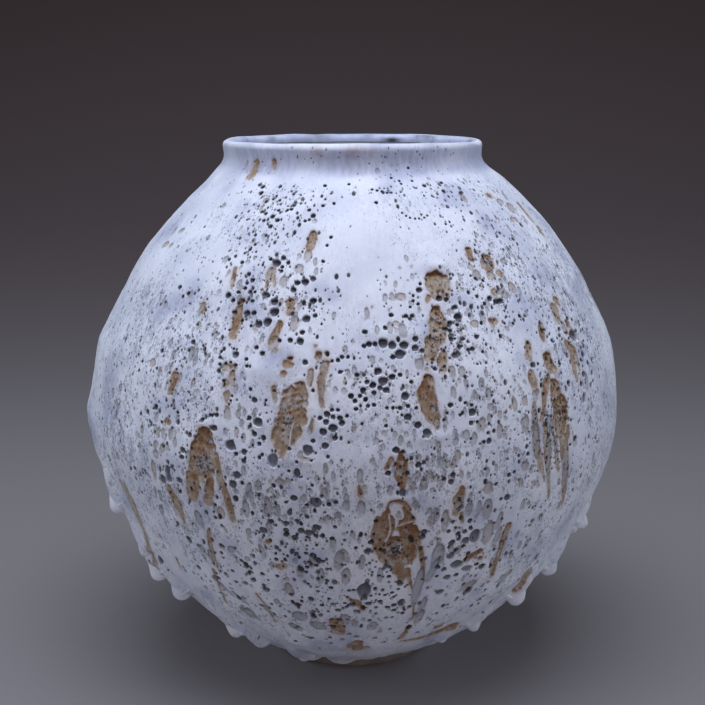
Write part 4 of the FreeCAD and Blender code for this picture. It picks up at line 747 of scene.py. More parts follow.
def stroke_distance(line, pad):
    sa = [p[0] for p in line]
    ss = [p[1] for p in line]
    rr = max(p[2] for p in line)
    am, sm = 0.5 * (min(sa) + max(sa)), 0.5 * (min(ss) + max(ss))
    ix, u, v = window(am, sm, (max(sa) - min(sa)) / 2 * 232 + rr + pad, (max(ss) - min(ss)) / 2 + rr + pad)
    best = np.full(u.shape, 60.0, np.float32)
    for q in range(max(1, len(line) - 1)):
        p0, p1 = line[q], line[min(q + 1, len(line) - 1)]
        loc_r = np.interp([p0[1], p1[1]], ROW_S, ROW_R)
        x0, y0 = (p0[0] - am) * loc_r[0], p0[1] - sm
        x1, y1 = (p1[0] - am) * loc_r[1], p1[1] - sm
        dx, dy = x1 - x0, y1 - y0
        t = np.clip(((u - x0) * dx + (v - y0) * dy) / max(dx * dx + dy * dy, 1e-6), 0, 1)
        best = np.minimum(best, np.hypot(u - x0 - t * dx, v - y0 - t * dy) - (p0[2] + t * (p1[2] - p0[2])))
    top, low = max(ss) + rr - sm, min(ss) - rr - sm
    return ix, u, v, best, rr, top, low


for depth, shade, line in patches:
    ix, u, v, best, rr, top, low = stroke_distance(line, 8)
    best = best + warp_a[ix] * min(2.0, 0.42 * rr) + warp_b[ix] * min(0.85, 0.24 * rr)
    # cells: the thin film breaks up into long blisters of different tones
    lu, lv = float(u.max() - u.min()), float(v.max() - v.min())
    n_c = int(np.clip(lu * lv / 62.0, 3, 60))
    cu, cv = rng.uniform(u.min(), u.max(), n_c), rng.uniform(v.min(), v.max(), n_c)
    tones = rng.normal(0, 0.16, n_c)
    f1 = np.full(u.shape, 99.0, np.float32)
    f2 = np.full(u.shape, 99.0, np.float32)
    tone_c = np.zeros(u.shape, np.float32)
    for q in range(n_c):
        dq = np.hypot(u - cu[q] + 0.8 * warp_b[ix], (v - cv[q]) * 0.5)
        nearer = dq < f1
        f2 = np.where(nearer, f1, np.minimum(f2, dq))
        tone_c = np.where(nearer, tones[q], tone_c)
        f1 = np.where(nearer, dq, f1)
    edge = sstep(f2 - f1, 0.75, 0.15) * np.clip(0.1 + 1.9 * warp_a[ix], 0, 1) * (0.55 if rr > 3.0 else 0.2)
    height_in = np.clip((v - low) / max(top - low, 1.0), 0, 1)
    # the tone runs browner toward the top of each patch: partly the clay's own tone, partly painted shade under the
    # overhanging top edge
    tone_p = shade * (0.62 + 0.50 * height_in ** 1.5) + tone_c + 0.25 * warp_b[ix]
    deeper = best < patch_d[ix]
    patch_h[ix] = np.where(deeper, depth, patch_h[ix])
    patch_t[ix] = np.where(deeper, tone_p, patch_t[ix])
    vein[ix] = np.where(deeper, edge, vein[ix])
    patch_d[ix] = np.minimum(patch_d[ix], best)
for line in ridges:
    ix, u, v, best, rr, top, low = stroke_distance(line, 4)
    ridge_d[ix] = np.minimum(ridge_d[ix], best + warp_b[ix] * 0.45)

patch_d = np.maximum(patch_d, -ridge_d - 0.1)
# which way is out of the patch: top edges are steep and overhang, lower ones feather
g_s = np.zeros(SHAPE, np.float32)
g_s[1:-1] = (patch_d[2:] - patch_d[:-2]) / (ROW_S[2:] - ROW_S[:-2])[:, None]
near = np.abs(patch_d) < 8
top_side = np.where(near, np.clip(g_s, 0, 1), 0)
low_side = np.where(near, np.clip(-g_s, 0, 1), 0)
soft = 1.1 + 3.4 * low_side
floor_shape = sstep(-patch_d, -0.35, soft)
m_clay = (sstep(-patch_d, -0.45 - 0.2 * low_side, 0.45 + 0.9 * low_side) * (1 - 0.8 * vein)).astype(np.float32)
rough_floor = 0.20 * field(2.6, 23, k=2) + 0.16 * warp_b
dig = patch_h * floor_shape * (0.80 + 0.35 * top_side + 0.15 * warp_a) + m_clay * rough_floor * 0.45 - 0.35 * vein * m_clay
cut = np.maximum(cut, np.where(near | (patch_d < 0), np.maximum(dig, 0), 0)).astype(np.float32)
strong = np.clip((patch_t - 0.25) * 1.5, 0.12, 1) * np.clip(patch_h / 1.3, 0.4, 1)
# painted shadow: dark brown along the top inside edge of each patch, under the overhang
m_iron_and_shade += 0.85 * top_side * sstep(-patch_d, -0.1, 0.5) * sstep(patch_d, -0.6 - 2.6 * strong, -0.4) * strong
m_iron_and_shade += 0.30 * m_clay * np.exp(-((patch_d + 0.45) / 0.45) ** 2)
m_warm = np.where(patch_d < 0.6, np.clip(patch_t, 0, 1), m_warm)
halo = 0.95 * np.exp(-(np.maximum(patch_d, 0) / 2.7) ** 2) * np.clip(0.50 + 1.1 * warp_a + 0.5 * warp_b, 0.05, 1) * (patch_d >= 0.6)
m_warm = np.maximum(m_warm, halo).astype(np.float32)
rim += 0.30 * np.exp(-((patch_d - 1.5) / 1.3) ** 2) * (0.4 + low_side) * (patch_d > -0.4)
drop += 0.8 * np.exp(-(patch_d / 1.0) ** 2) * top_side * np.clip((patch_h - 0.9) / 1.2, 0, 1.3)
del g_s, near, soft, floor_shape, dig, strong, halo
for x, y, rx, ry, w in STAINS:
    a, s, ju, jv = pick([x], [y])
    ix, u, v = window(a[0], s[0], 2.2 * rx / ju[0], 2.2 * ry / jv[0])
    g = w * np.exp(-1.2 * ((u * ju[0] / rx) ** 2 + (v * jv[0] / ry) ** 2)) * np.clip(0.65 + 0.9 * warp_a[ix] + 0.7 * warp_b[ix], 0, 1.2)
    m_warm[ix] = np.where(m_clay[ix] < 0.2, np.maximum(m_warm[ix], g), m_warm[ix])
# pitted grey places on the clay
for a, s, ru, rv in pitted:
    ix, u, v = window(a, s, 1.5 * ru, 1.5 * rv)
    q = np.hypot(u / ru, v / rv)
    m_crust[ix] = np.maximum(m_crust[ix], sstep(q + 0.5 * warp_b[ix], 1.1, 0.5))
    for _ in range(int(ru * rv * (0.70 if rv < 3 * ru else 0.06))):
        t = rng.uniform(0, 6.28)
        w = math.sqrt(rng.uniform(0, 1))
        holes.append((a + w * math.cos(t) * ru / np.interp(s, ROW_S, ROW_R), s + w * math.sin(t) * rv, rng.uniform(0.36, 0.75)))

# blisters
for a, s, ru, rv, w, sl in lenses:
    ru, rv = max(ru, 0.75), max(rv, 0.75)
    big = max(ru, rv)
    ix, u, v = window(a, s, (ru if sl == 0 else big) * 1.5 + 0.8, (rv if sl == 0 else big) * 1.5 + 0.8)
    c, n = math.cos(sl), math.sin(sl)
    uu, vv = c * u + n * v, c * v - n * u
    q = np.hypot(uu / ru, vv / rv) / wobble(uu, vv, 0.06)
    inside = sstep(q, 1.04, 0.88)
    depth = min(0.55, 0.16 + 0.11 * ru)
    h = depth * np.sqrt(np.clip(1 - q * q, 0, 1)) * (0.85 + 0.45 * np.clip(vv / rv, -1, 1))
    groove = 0.16 * np.exp(-((q - 0.98) / 0.12) ** 2)
    cut[ix] = np.maximum(cut[ix], h + groove)
    # blister colour strength: random tone, heavier toward the outline, and painted shade toward the blister's upper
    # side
    lens_tone_and_shade = (0.86 + 0.14 * np.clip(vv / rv, -1, 1)) * (0.74 + 0.26 * q * q) * rng.uniform(0.90 if big > 2.6 else 0.6, 1.0)
    m_lens[ix] = np.maximum(m_lens[ix], inside * lens_tone_and_shade)
    m_warm[ix] = np.where(inside > 0.3, w, m_warm[ix])
    # the outline is a real dark line, drawn heavier on the upper side as painted shade
    ring = np.exp(-((q - 0.95) / 0.10) ** 2) * (0.75 + 0.35 * np.clip(vv / rv, -1, 1))
    m_iron_and_shade[ix] = np.maximum(m_iron_and_shade[ix], 0.45 * w * ring)
    m_stain_and_shade[ix] = np.maximum(m_stain_and_shade[ix], (0.70 - 0.28 * w) * ring)

# bowls left by burst bubbles
for a, s, ru, rv, lt in bowls:
    r = math.sqrt(ru * rv)
    ix, u, v = window(a, s, ru * 1.6 + 0.8, rv * 1.6 + 0.8)
    q = np.hypot(u / ru, v / rv) / wobble(u, v, 0.055)
    vr = v / rv
    shade_low = float(1 - sstep(np.array([s]), 150, 300)[0])
    if s < S_BODY:
        ru, rv, r = ru * (1 + 0.20 * shade_low), rv * (1 + 0.20 * shade_low), r * (1 + 0.20 * shade_low)
        q = q / (1 + 0.20 * shade_low)
    depth = min(0.95 * r + 0.35, 4.4)
    h = depth * np.clip(1 - q * q, 0, 1) ** 0.46 * (1 + 0.16 * vr)
    cut[ix] = np.maximum(cut[ix], h)
    m_slate[ix] = np.maximum(m_slate[ix], sstep(q, 1.03, 0.88) * rng.uniform(0.85, 1.0))
    small = float(np.clip(1.40 - 0.33 * r, 0.10, 1.0)) * (1 - lt)
    # painted shade in the bowl: darker for small bowls, toward the upper side, and low on the jar where the top light
    # does not reach; plus random tone
    bowl_shade = np.clip(small * 0.78 + (0.85 - 0.4 * lt) * (0.16 + 0.9 * vr) + 0.12 * rng.standard_normal() + (0.62 - 0.3 * lt) * shade_low + 0.05, 0, 1)
    m_stain_and_shade[ix] = np.maximum(m_stain_and_shade[ix], sstep(q, 1.06, 0.84) * bowl_shade)
    rim[ix] = np.maximum(rim[ix], (0.04 + 0.055 * r) * np.exp(-((q - 1.17) / 0.16) ** 2))
    if r > 1.5:
        drop[ix] = np.maximum(drop[ix], 0.20 * r * np.exp(-((q - 1.0) / 0.22) ** 2) * np.clip(vr, 0, 1))
    m_lens[ix] *= 1 - sstep(q, 1.1, 0.9)

# small deep holes
for a, s, r in holes:
    r = r * (1 + 0.22 * float(1 - sstep(np.array([s]), 150, 300)[0]))
    ru, rv = r, r * (1.0 + 0.6 * rng.uniform())
    ix, u, v = window(a, s, ru * 1.7 + 0.5, rv * 1.7 + 0.5)
    q = np.hypot(u / ru, v / rv)
    h = min(1.7 * r, 2.4) * np.clip(1 - q * q, 0, 1) ** 0.4
    cut[ix] = np.maximum(cut[ix], h)
    # painted shade: the hole's inside turns near-black
    m_stain_and_shade[ix] = np.maximum(m_stain_and_shade[ix], sstep(q, 1.28, 0.84) * rng.uniform(0.70, 1.0))

# runs: a smooth swelling that ends in a hanging shoulder
base_lumps = lumps.copy()
for az, z, r, length in DRIPS:
    a = math.radians(az)
    s = float(np.interp(z, ROW_Z[:ROW_NECK], ROW_S[:ROW_NECK]))
    ix, u, v = window(a, s, 3.4 * r, length * 2.2 + 2 * r)
    wide = 1.65 * r * np.where(v > 0, 1.0 - 0.45 * np.clip(v / (length * 1.8), 0, 1), 1.0)
    down = np.where(v > 0, v / (length * 1.8), -v / (1.30 * r))
    q = np.hypot(u / wide, down)
    bulge = (0.74 * r) * np.where(v > 0, np.clip(1 - q * q, 0, 1) ** 1.15, np.clip(1 - q * q, 0, 1) ** 0.62)
    lumps[ix] += bulge
    drop[ix] += 0.34 * r * np.clip(1 - q * q, 0, 1)

# the glaze never gets as deep as the clay under it
DEPTH_S = [0, 13.5, 28, S_BODY - 40, S_BODY - 12, S_BODY, S_BODY + 5, S_BODY + 9, S_BODY + 13, S_BODY + 27, S_ALL]
DEPTH_T = [3.0, 4.6, 7.2, 7.8, 6.6, 4.2, 3.8, 2.7, 1.95, 1.5, 0.95]
depth_ok = np.interp(ROW_S, DEPTH_S, DEPTH_T)
coat = depth_ok[:, None].astype(np.float32)
fade = (1 - sstep(ROW_S, S_ALL - 14, S_ALL - 4))[:, None].astype(np.float32)
end_fade = np.clip(ROW_S / 6.0, 0.25, 1)[:, None].astype(np.float32)
height = lumps * end_fade + rim * (1 - np.clip(cut / 0.4, 0, 1)) - np.minimum(cut, coat * 0.86)
height = np.maximum(height, -(coat - 0.5)).astype(np.float32)
# the lip itself: a slow wave, a hump and a notch at the back
lipw = np.exp(-((ROW_S - (S_ALL - 12.0)) / 9.0) ** 2)[:, None].astype(np.float32)
wave = 0.55 * np.sin(3 * COL_A + 1.0) + 0.35 * np.sin(7 * COL_A + 2.2) + 0.25 * np.sin(13 * COL_A + 0.4)
wave += 2.6 * np.exp(-(COL_A / 0.95) ** 4)
wave += 1.3 * np.exp(-((COL_A + 2.56) / 0.13) ** 2) - 1.2 * np.exp(-((COL_A + 2.82) / 0.08) ** 2)
height += lipw * 0.62 * wave[None, :].astype(np.float32)
height = np.maximum(height * (0.25 + 0.75 * fade), -(coat - 0.5)).astype(np.float32)
drop *= np.clip((ROW_S - 3) / 10, 0, 1)[:, None].astype(np.float32)


def smooth3(f):
    f = 0.5 * f + 0.25 * (np.roll(f, 1, 1) + np.roll(f, -1, 1))
    g = f.copy()
    g[1:-1] = 0.5 * f[1:-1] + 0.25 * (f[:-2] + f[2:])
    return g


height = smooth3(height)
drop = smooth3(smooth3(drop))

# scalloped lower edge, hanging over the side of the foot: azimuth, half width, drop
lobes = 1.0 + 0.5 * np.sin(9 * COL_A + 0.8) + 0.35 * np.sin(23 * COL_A + 2.1)
for az, hw, dz in ((-33, 8, 6.6), (-8, 7.5, 5.2), (12, 5, 1.6), (-58, 9, 5.5), (-84, 9, 6.2), (56, 9, 5.0), (79, 10, 6.4), (105, 8, 4.5),
                   (130, 9, 6.2), (155, 10, 5.0), (178, 9, 6.4), (-156, 8, 5.0), (-131, 10, 6.2), (-108, 8, 4.6)):
    dd = (np.degrees(COL_A) - az + 180) % 360 - 180
    lobes = np.maximum(lobes, dz * np.clip(1 - (dd / (hw * 1.5)) ** 2, 0, 1) ** 0.8)
lobes = np.convolve(np.concatenate([lobes[-12:], lobes, lobes[:12]]), np.ones(25) / 25, "valid")
skirt = np.clip(1 - ROW_S / 16.0, 0, 1)[:, None] ** 2

# positions, mm
P = np.empty(SHAPE + (3,), np.float32)
pr = ROW_R[:, None] + ROW_NR[:, None] * height - ROW_TR[:, None] * drop
pz = ROW_Z[:, None] + ROW_NZ[:, None] * height - ROW_TZ[:, None] * drop
pz = pz - skirt * lobes[None, :]
pr = pr + skirt * (0.16 * np.clip(lobes, 0, 9))[None, :]
P[..., 0] = pr * SIN_A
P[..., 1] = -pr * COS_A
P[..., 2] = pz

# stipple gathers at the sides and between the smooth places
stip = 0.55 + 0.55 * field(60, 31) + 0.40 * field(22, 32)
for x, y, rx, ry, w in ((170, 350, 60, 70, .5), (120, 400, 34, 80, .5), (560, 280, 50, 100, .6), (590, 420, 30, 80, .5), (400, 470, 60, 60, .45),
                        (520, 560, 60, 50, .45), (260, 520, 80, 60, .3), (230, 220, 40, 26, .25), (410, 205, 40, 14, .3), (390, 232, 60, 26, -.2),
                        (125, 470, 36, 50, .6), (180, 520, 50, 36, .5), (150, 300, 40, 40, .3), (480, 480, 60, 50, .3), (300, 500, 60, 30, .3),
                        (205, 260, 34, 30, -.35), (365, 300, 30, 30, -.12), (290, 325, 30, 22, -.3), (200, 585, 30, 20, -.3), (470, 590, 40, 16, -.2),
                        (380, 270, 40, 20, -.2), (255, 375, 20, 16, -.3), (480, 235, 20, 20, -.2)):
    a, s, ju, jv = pick([x], [y])
    ix, u, v = window(a[0], s[0], 2.6 * rx / ju[0], 2.6 * ry / jv[0])
    stip[ix] += w * np.exp(-1.1 * ((u * ju[0] / rx) ** 2 + (v * jv[0] / ry) ** 2))
stip = stip + 0.10 * (1 - sstep(ROW_Z, 60, 200))[:, None]
stip = np.clip(stip, 0.02, 1.3) * (1 - 0.45 * calm)
stip = stip.astype(np.float32)
tone = field(36, 33, octaves=2)
# inside of the lip: thin blue-grey wash with darker places
i_top = int(np.argmax(ROW_Z))
wash = sstep(ROW_S, ROW_S[i_top] + 0.8, ROW_S[i_top] + 2.6)[:, None] * np.ones((1, NU))
for a0, wd, s_off, ws, k in ((-2.84, 0.10, 4, 4, .55), (2.42, 0.09, 3, 3, .6), (2.77, 0.085, 8.5, 2.6, 1.2), (-2.35, 0.06, 5, 3, .4), (3.0, 0.05, 4, 3, .35), (1.7, 0.1, 5, 3, .5), (0.6, 0.12, 5, 4, .5), (-0.9, 0.1, 4, 4, .4)):
    da = (COL_A - a0 + math.pi) % (2 * math.pi) - math.pi
    m_stain_and_shade += (k * np.exp(-(da / wd) ** 2)[None, :] * np.exp(-((ROW_S - ROW_S[i_top] - s_off) / ws) ** 2)[:, None] * wash).astype(np.float32)
m_stain_and_shade = np.clip(m_stain_and_shade, 0, 1)
m_iron_and_shade = np.clip(m_iron_and_shade, 0, 1)
tone = np.clip(tone, -0.5, 1.0)
i_lip = ROW_NECK + int(np.argmax(np.where(ROW_Z[ROW_NECK:i_top] > ROW_Z[i_top] - 14, ROW_R[ROW_NECK:i_top], 0)))
# painted shade: a darker blue-grey band on the neck under the lip, running over the lip's lower half; it is carried in
# tone
neck_shade_and_lip_wash = sstep(ROW_S, S_BODY - 8, S_BODY + 7) * sstep(ROW_S, ROW_S[i_lip] + 3.2, ROW_S[i_lip] - 0.6)
neck_shade_and_lip_wash = neck_shade_and_lip_wash[:, None] * np.clip(0.85 + 0.5 * field(30, 34), 0.35, 1)
tone = tone * (1 - neck_shade_and_lip_wash) - 0.64 * neck_shade_and_lip_wash
tone = np.where(wash > 0.01, np.minimum(tone, -wash), tone).astype(np.float32)

# ---------------------------------------------------------------------------
# Adaptive triangles over the rasters
# ---------------------------------------------------------------------------
masks = np.stack([m_clay, m_iron_and_shade, m_slate, m_stain_and_shade, m_lens, m_warm, m_crust, stip, tone], -1).astype(np.float32)
weights = np.array([0.40, 0.22, 0.30, 0.34, 0.28, 0.22, 0.20, 0.14, 0.10], np.float32)
F = np.concatenate([P, masks * weights], -1)


def own_error(mid, a, b):
    d = mid - 0.5 * (a + b)
    return np.sqrt(np.einsum("...k,...k->...", d, d))


E = np.zeros(SHAPE, np.float32)
step = 1
while step <= BLK // 2:
    S2 = 2 * step
    rows_e = np.arange(0, NV + 1, S2)          # rows of square corners
    rows_m = np.arange(step, NV, S2)           # rows of square middles
    cols_e = np.arange(0, NU, S2)
    cols_m = np.arange(step, NU, S2)
    # middles of level edges
    A = F[np.ix_(rows_e, cols_e)]
    e = own_error(F[np.ix_(rows_e, cols_m)], A, np.roll(A, -1, 1))
    if step > 1:
        h = step // 2
        for dr in (-h, h):
            rr = np.clip(rows_e + dr, 0, NV)
            ok = ((rows_e + dr) >= 0) & ((rows_e + dr) <= NV)
            for dc in (-h, h):
                e = np.maximum(e, np.where(ok[:, None], E[np.ix_(rr, (cols_m + dc) % NU)], 0))
    E[np.ix_(rows_e, cols_m)] = e
    # middles of upright edges
    e = own_error(F[np.ix_(rows_m, cols_e)], A[:-1], A[1:])
    if step > 1:
        h = step // 2
        for dr in (-h, h):
            for dc in (-h, h):
                e = np.maximum(e, E[np.ix_(rows_m + dr, (cols_e + dc) % NU)])
    E[np.ix_(rows_m, cols_e)] = e
    # centres of squares, split along diagonals that alternate
    II, JJ = np.meshgrid(np.arange(len(rows_m)), np.arange(len(cols_m)), indexing="ij")
    even = ((II + JJ) % 2 == 0)
    C = F[np.ix_(rows_m, cols_m)]
    A01 = np.roll(A, -1, 1)
    e1 = own_error(C, A[:-1], A01[1:])
    e2 = own_error(C, A01[:-1], A[1:])
    e = np.where(even, e1, e2)
    for rr, cc in ((rows_m - step, cols_m), (rows_m + step, cols_m), (rows_m, cols_m - step), (rows_m, (cols_m + step) % NU)):
        e = np.maximum(e, E[np.ix_(rr, cc)])
    E[np.ix_(rows_m, cols_m)] = e
    step *= 2

THR = 0.15
I0, J0 = np.meshgrid(np.arange(0, NV, BLK), np.arange(0, NU, BLK), indexing="ij")
I0, J0 = I0.ravel(), J0.ravel()
ev = ((I0 // BLK + J0 // BLK) % 2 == 0)
tri_a, tri_b, tri_c = [], [], []
ie, je, io, jo = I0[ev], J0[ev], I0[~ev], J0[~ev]
B = BLK
sets = [
    ((ie + B, je + B), (ie, je), (ie, je + B)),
    ((ie, je), (ie + B, je + B), (ie + B, je)),
    ((io, jo + B), (io + B, jo), (io, jo)),
    ((io + B, jo), (io, jo + B), (io + B, jo + B)),
]
a_ = np.concatenate([np.stack(t[0], 1) for t in sets])
b_ = np.concatenate([np.stack(t[1], 1) for t in sets])
c_ = np.concatenate([np.stack(t[2], 1) for t in sets])
done = []
while len(a_):
    m = (a_ + b_) // 2
    big = np.abs(a_ - b_).max(1) >= 2
    need = big & (E[m[:, 0], m[:, 1] % NU] > THR)
    keep = ~need
    done.append(np.stack([a_[keep], b_[keep], c_[keep]], 1))
    a_, b_, c_, m = a_[need], b_[need], c_[need], m[need]
    a_, b_, c_ = np.concatenate([c_, b_]), np.concatenate([a_, c_]), np.concatenate([m, m])
T = np.concatenate(done)                      # (n, 3, 2) row, column
row_lo = T[:, :, 0].min(1)
vid = T[:, :, 0].astype(np.int64) * NU + (T[:, :, 1] % NU)
ids, inv = np.unique(vid, return_inverse=True)
inv = inv.reshape(-1, 3)
vi, vj = ids // NU, ids % NU
X = P[vi, vj].astype(np.float64)
n_f = np.cross(X[inv[:, 1]] - X[inv[:, 0]], X[inv[:, 2]] - X[inv[:, 0]])
VN = np.stack([sum(np.bincount(inv[:, k], weights=n_f[:, c], minlength=len(ids)) for k in range(3)) for c in range(3)], 1)
VN /= np.linalg.norm(VN, axis=1)[:, None] + 1e-12
VM = masks[vi, vj]
print("outside triangles", len(T), "points", len(ids))
part_of = np.where(row_lo < ROW_WAIST, 0, np.where(row_lo < ROW_NECK, 1, 2))


# ---------------------------------------------------------------------------
# Mesh helpers
# ---------------------------------------------------------------------------
def make_mesh(name, verts_mm, tris, normals=None, attrs=None, uv=None):
    me = bpy.data.meshes.new(name)
    n, m = len(verts_mm), len(tris)
    me.vertices.add(n)
    me.vertices.foreach_set("co", (np.asarray(verts_mm, np.float64) / 1000.0).astype(np.float32).ravel())
    me.loops.add(3 * m)
    me.loops.foreach_set("vertex_index", np.asarray(tris, np.int32).ravel())
    me.polygons.add(m)
    me.polygons.foreach_set("loop_start", np.arange(0, 3 * m, 3, dtype=np.int32))
    me.polygons.foreach_set("loop_total", np.full(m, 3, np.int32))
    me.update(calc_edges=True)
    me.validate()
    me.polygons.foreach_set("use_smooth", np.ones(len(me.polygons), bool))
    for an, data in (attrs or {}).items():
        data = np.asarray(data, np.float32)
        if data.ndim == 1:
            at = me.attributes.new(an, "FLOAT", "POINT")
            at.data.foreach_set("value", data)
        else:
            at = me.attributes.new(an, "FLOAT_VECTOR", "POINT")
            at.data.foreach_set("vector", data.ravel())
    if uv is not None:
        layer = me.uv_layers.new(name="OFBake")
        layer.data.foreach_set("uv", np.asarray(uv, np.float32).ravel())
    if normals is not None:
        me.normals_split_custom_set_from_vertices([tuple(v) for v in normals])
    ob = bpy.data.objects.new(name, me)
    bpy.context.scene.collection.objects.link(ob)
    return ob


def stitch(ring_a, ang_a, ring_b, ang_b):
    """Triangles between two closed rings given by vertex numbers and rising angles."""
    na, nb = len(ring_a), len(ring_b)
    out = []
    i = j = 0
    while i < na or j < nb:
        nxt_a = ang_a[i + 1] if i + 1 < na else ang_a[0] + 2 * math.pi if i < na else 1e9
        nxt_b = ang_b[j + 1] if j + 1 < nb else ang_b[0] + 2 * math.pi if j < nb else 1e9
        if i < na and (nxt_a <= nxt_b or j >= nb):
            out.append((ring_a[i % na], ring_a[(i + 1) % na], ring_b[j % nb]))
            i += 1
        else:
            out.append((ring_a[i % na], ring_b[(j + 1) % nb], ring_b[j % nb]))
            j += 1
    return out


def close_coat(name, part, under, low_rings=None):
    """Outer triangles of one coat with its underside, as one closed shell.

    under: (r, z) points of the clay below it, from the lower end to the upper.
    low_rings: extra (dr, dz) rings that round the lower edge before the clay."""
    sel = inv[part_of == part]
    used, tri = np.unique(sel, return_inverse=True)
    tri = tri.reshape(-1, 3)
    verts = X[used]
    nrm = VN[used]
    msk = VM[used]
    rows, cols = vi[used], vj[used]
    r_lo, r_hi = rows.min(), rows.max()
    ang = COL_A[cols]

    def loop(r):
        k = np.nonzero(rows == r)[0]
        k = k[np.argsort(ang[k])]
        return k.tolist(), ang[k].tolist()

    lo, lo_a = loop(r_lo)
    hi, hi_a = loop(r_hi)
    new_v, new_n, new_m, faces = [], [], [], []
    count = len(verts)
    nc = 512
    angs = [-math.pi + 2 * math.pi * q / nc for q in range(nc)]
    sa, ca = np.sin(angs), np.cos(angs)

    def add_ring(r, z, nr, nz, mask):
        nonlocal count
        r = np.broadcast_to(np.asarray(r, float), (nc,))
        z = np.broadcast_to(np.asarray(z, float), (nc,))
        new_v.append(np.stack([r * sa, -r * ca, z], 1))
        new_n.append(np.stack([nr * sa, -nr * ca, np.full(nc, float(nz))], 1))
        new_m.append(np.broadcast_to(mask, (nc, masks.shape[-1])))
        ring = list(range(count, count + nc))
        count += nc
        return ring

    blank = np.zeros(masks.shape[-1])
    chain = []
    if low_rings:
        j = (np.arange(nc) * (NU // nc))
        er = pr[0][j]
        ez = pz[0][j]
        for dr, dz, nr, nz in low_rings:
            chain.append(add_ring(er + dr, ez + dz, nr, nz, blank))
    for r, z in under:
        chain.append(add_ring(r, z, -0.7, -0.7 if z < 226 else 0.3, blank))
    faces += stitch(chain[0], angs, lo, lo_a)
    for q in range(len(chain) - 1):
        A_, B_ = chain[q], chain[q + 1]
        for k in range(nc):
            k2 = (k + 1) % nc
            faces.append((A_[k], B_[k2], A_[k2]))
            faces.append((A_[k], B_[k], B_[k2]))
    faces += stitch(hi, hi_a, chain[-1], angs)
    verts_all = np.concatenate([verts] + new_v)
    nrm_all = np.concatenate([nrm] + new_n)
    nrm_all /= np.linalg.norm(nrm_all, axis=1)[:, None]
    msk_all = np.concatenate([msk] + new_m)
    n_outer = len(tri)
    tri_all = np.concatenate([tri, np.array(faces, np.int64)])
    a_all = np.arctan2(verts_all[:, 0], -verts_all[:, 1])
    s_all = np.concatenate([ROW_S[rows], np.zeros(len(verts_all) - len(verts))])
    # stretched coordinates for streaks, and a map for baking
    flow = np.stack([0.2 * np.sin(a_all), -0.2 * np.cos(a_all), s_all * 0.00052], 1)
    uu = a_all[tri_all] / (2 * math.pi) + 0.5
    wrap = (uu.max(1) - uu.min(1)) > 0.5
    uu[wrap] = np.where(uu[wrap] < 0.5, uu[wrap] + 1.0, uu[wrap])
    s0, s1 = ROW_S[r_lo], ROW_S[r_hi]
    ring_no = np.zeros(len(verts_all))
    ring_no[len(verts):] = np.repeat(np.arange(len(new_v)), nc) / max(len(new_v), 1)
    vv = (np.concatenate([ROW_S[rows], np.zeros(len(verts_all) - len(verts))])[tri_all] - s0) / (s1 - s0)
    vv = 0.01 + 0.88 * vv
    vb = 0.90 + 0.09 * ring_no[tri_all]
    vv[n_outer:] = np.where(tri_all[n_outer:] >= len(verts), vb[n_outer:], 0.895)
    uu = 0.005 + uu * 0.985 / 1.0
    uv = np.stack([np.clip(uu, 0, 1.0), vv], -1)
    ob = make_mesh(name, verts_all, tri_all, nrm_all,
                   {"mk_a": msk_all[:, 0:3], "mk_b": msk_all[:, 3:6], "mk_c": msk_all[:, 6:9], "flow": flow}, uv)
    return ob


def clay_under(i):
    """Clay surface below a point of the outer profile."""
    v, d = profile.at(profile.t[i])
    n = np.array([d[1], -d[0]]) / math.hypot(*d)
    return tuple(v - n * float(np.interp(profile.t[i], DEPTH_S, DEPTH_T)))


NECK_CLAY = [(110.5, 429.2), (108.6, 432.4), (107.8, 436.4), (107.6, 441.0), (108.1, 445.0), (108.5, 447.6), (107.6, 449.7),
             (105.9, 450.4), (103.6, 449.7), (102.1, 447.8), (101.6, 445.0)]
clay = Spline([(70.5, 11.5)] + [clay_under(i) for i in range(1, len(BODY))] + NECK_CLAY)
_cs = np.linspace(0, clay.t[-1], 4001)
_cv = clay.at(_cs)[0]
_top = int(np.argmax(_cv[:, 1]))


def clay_between(z0, z1, n):
    k0 = int(np.argmin(np.abs(_cv[:_top, 1] - z0)))
    k1 = int(np.argmin(np.abs(_cv[:_top, 1] - z1)))
    return [tuple(_cv[int(round(q))]) for q in np.linspace(k0, k1, n)]


lower = close_coat("lower_coat", 0, [(70.2, 10.6)] + clay_between(11.6, 226.5, 40),
                   [(-0.15, -0.55, 0.9, -0.4), (-0.62, -0.98, 0.5, -0.85), (-1.25, -1.15, 0.1, -1.0), (-2.3, -0.95, -0.3, -0.95)])
upper = close_coat("upper_coat", 1, clay_between(226.5, float(clay.at(clay.t[len(BODY) - 1])[0][1]), 36))
_k = len(BODY) - 1
_ns = np.linspace(clay.t[_k], clay.t[-1], 22)
neck = close_coat("neck_coat", 2, [tuple(v) for v in clay.at(_ns)[0]])


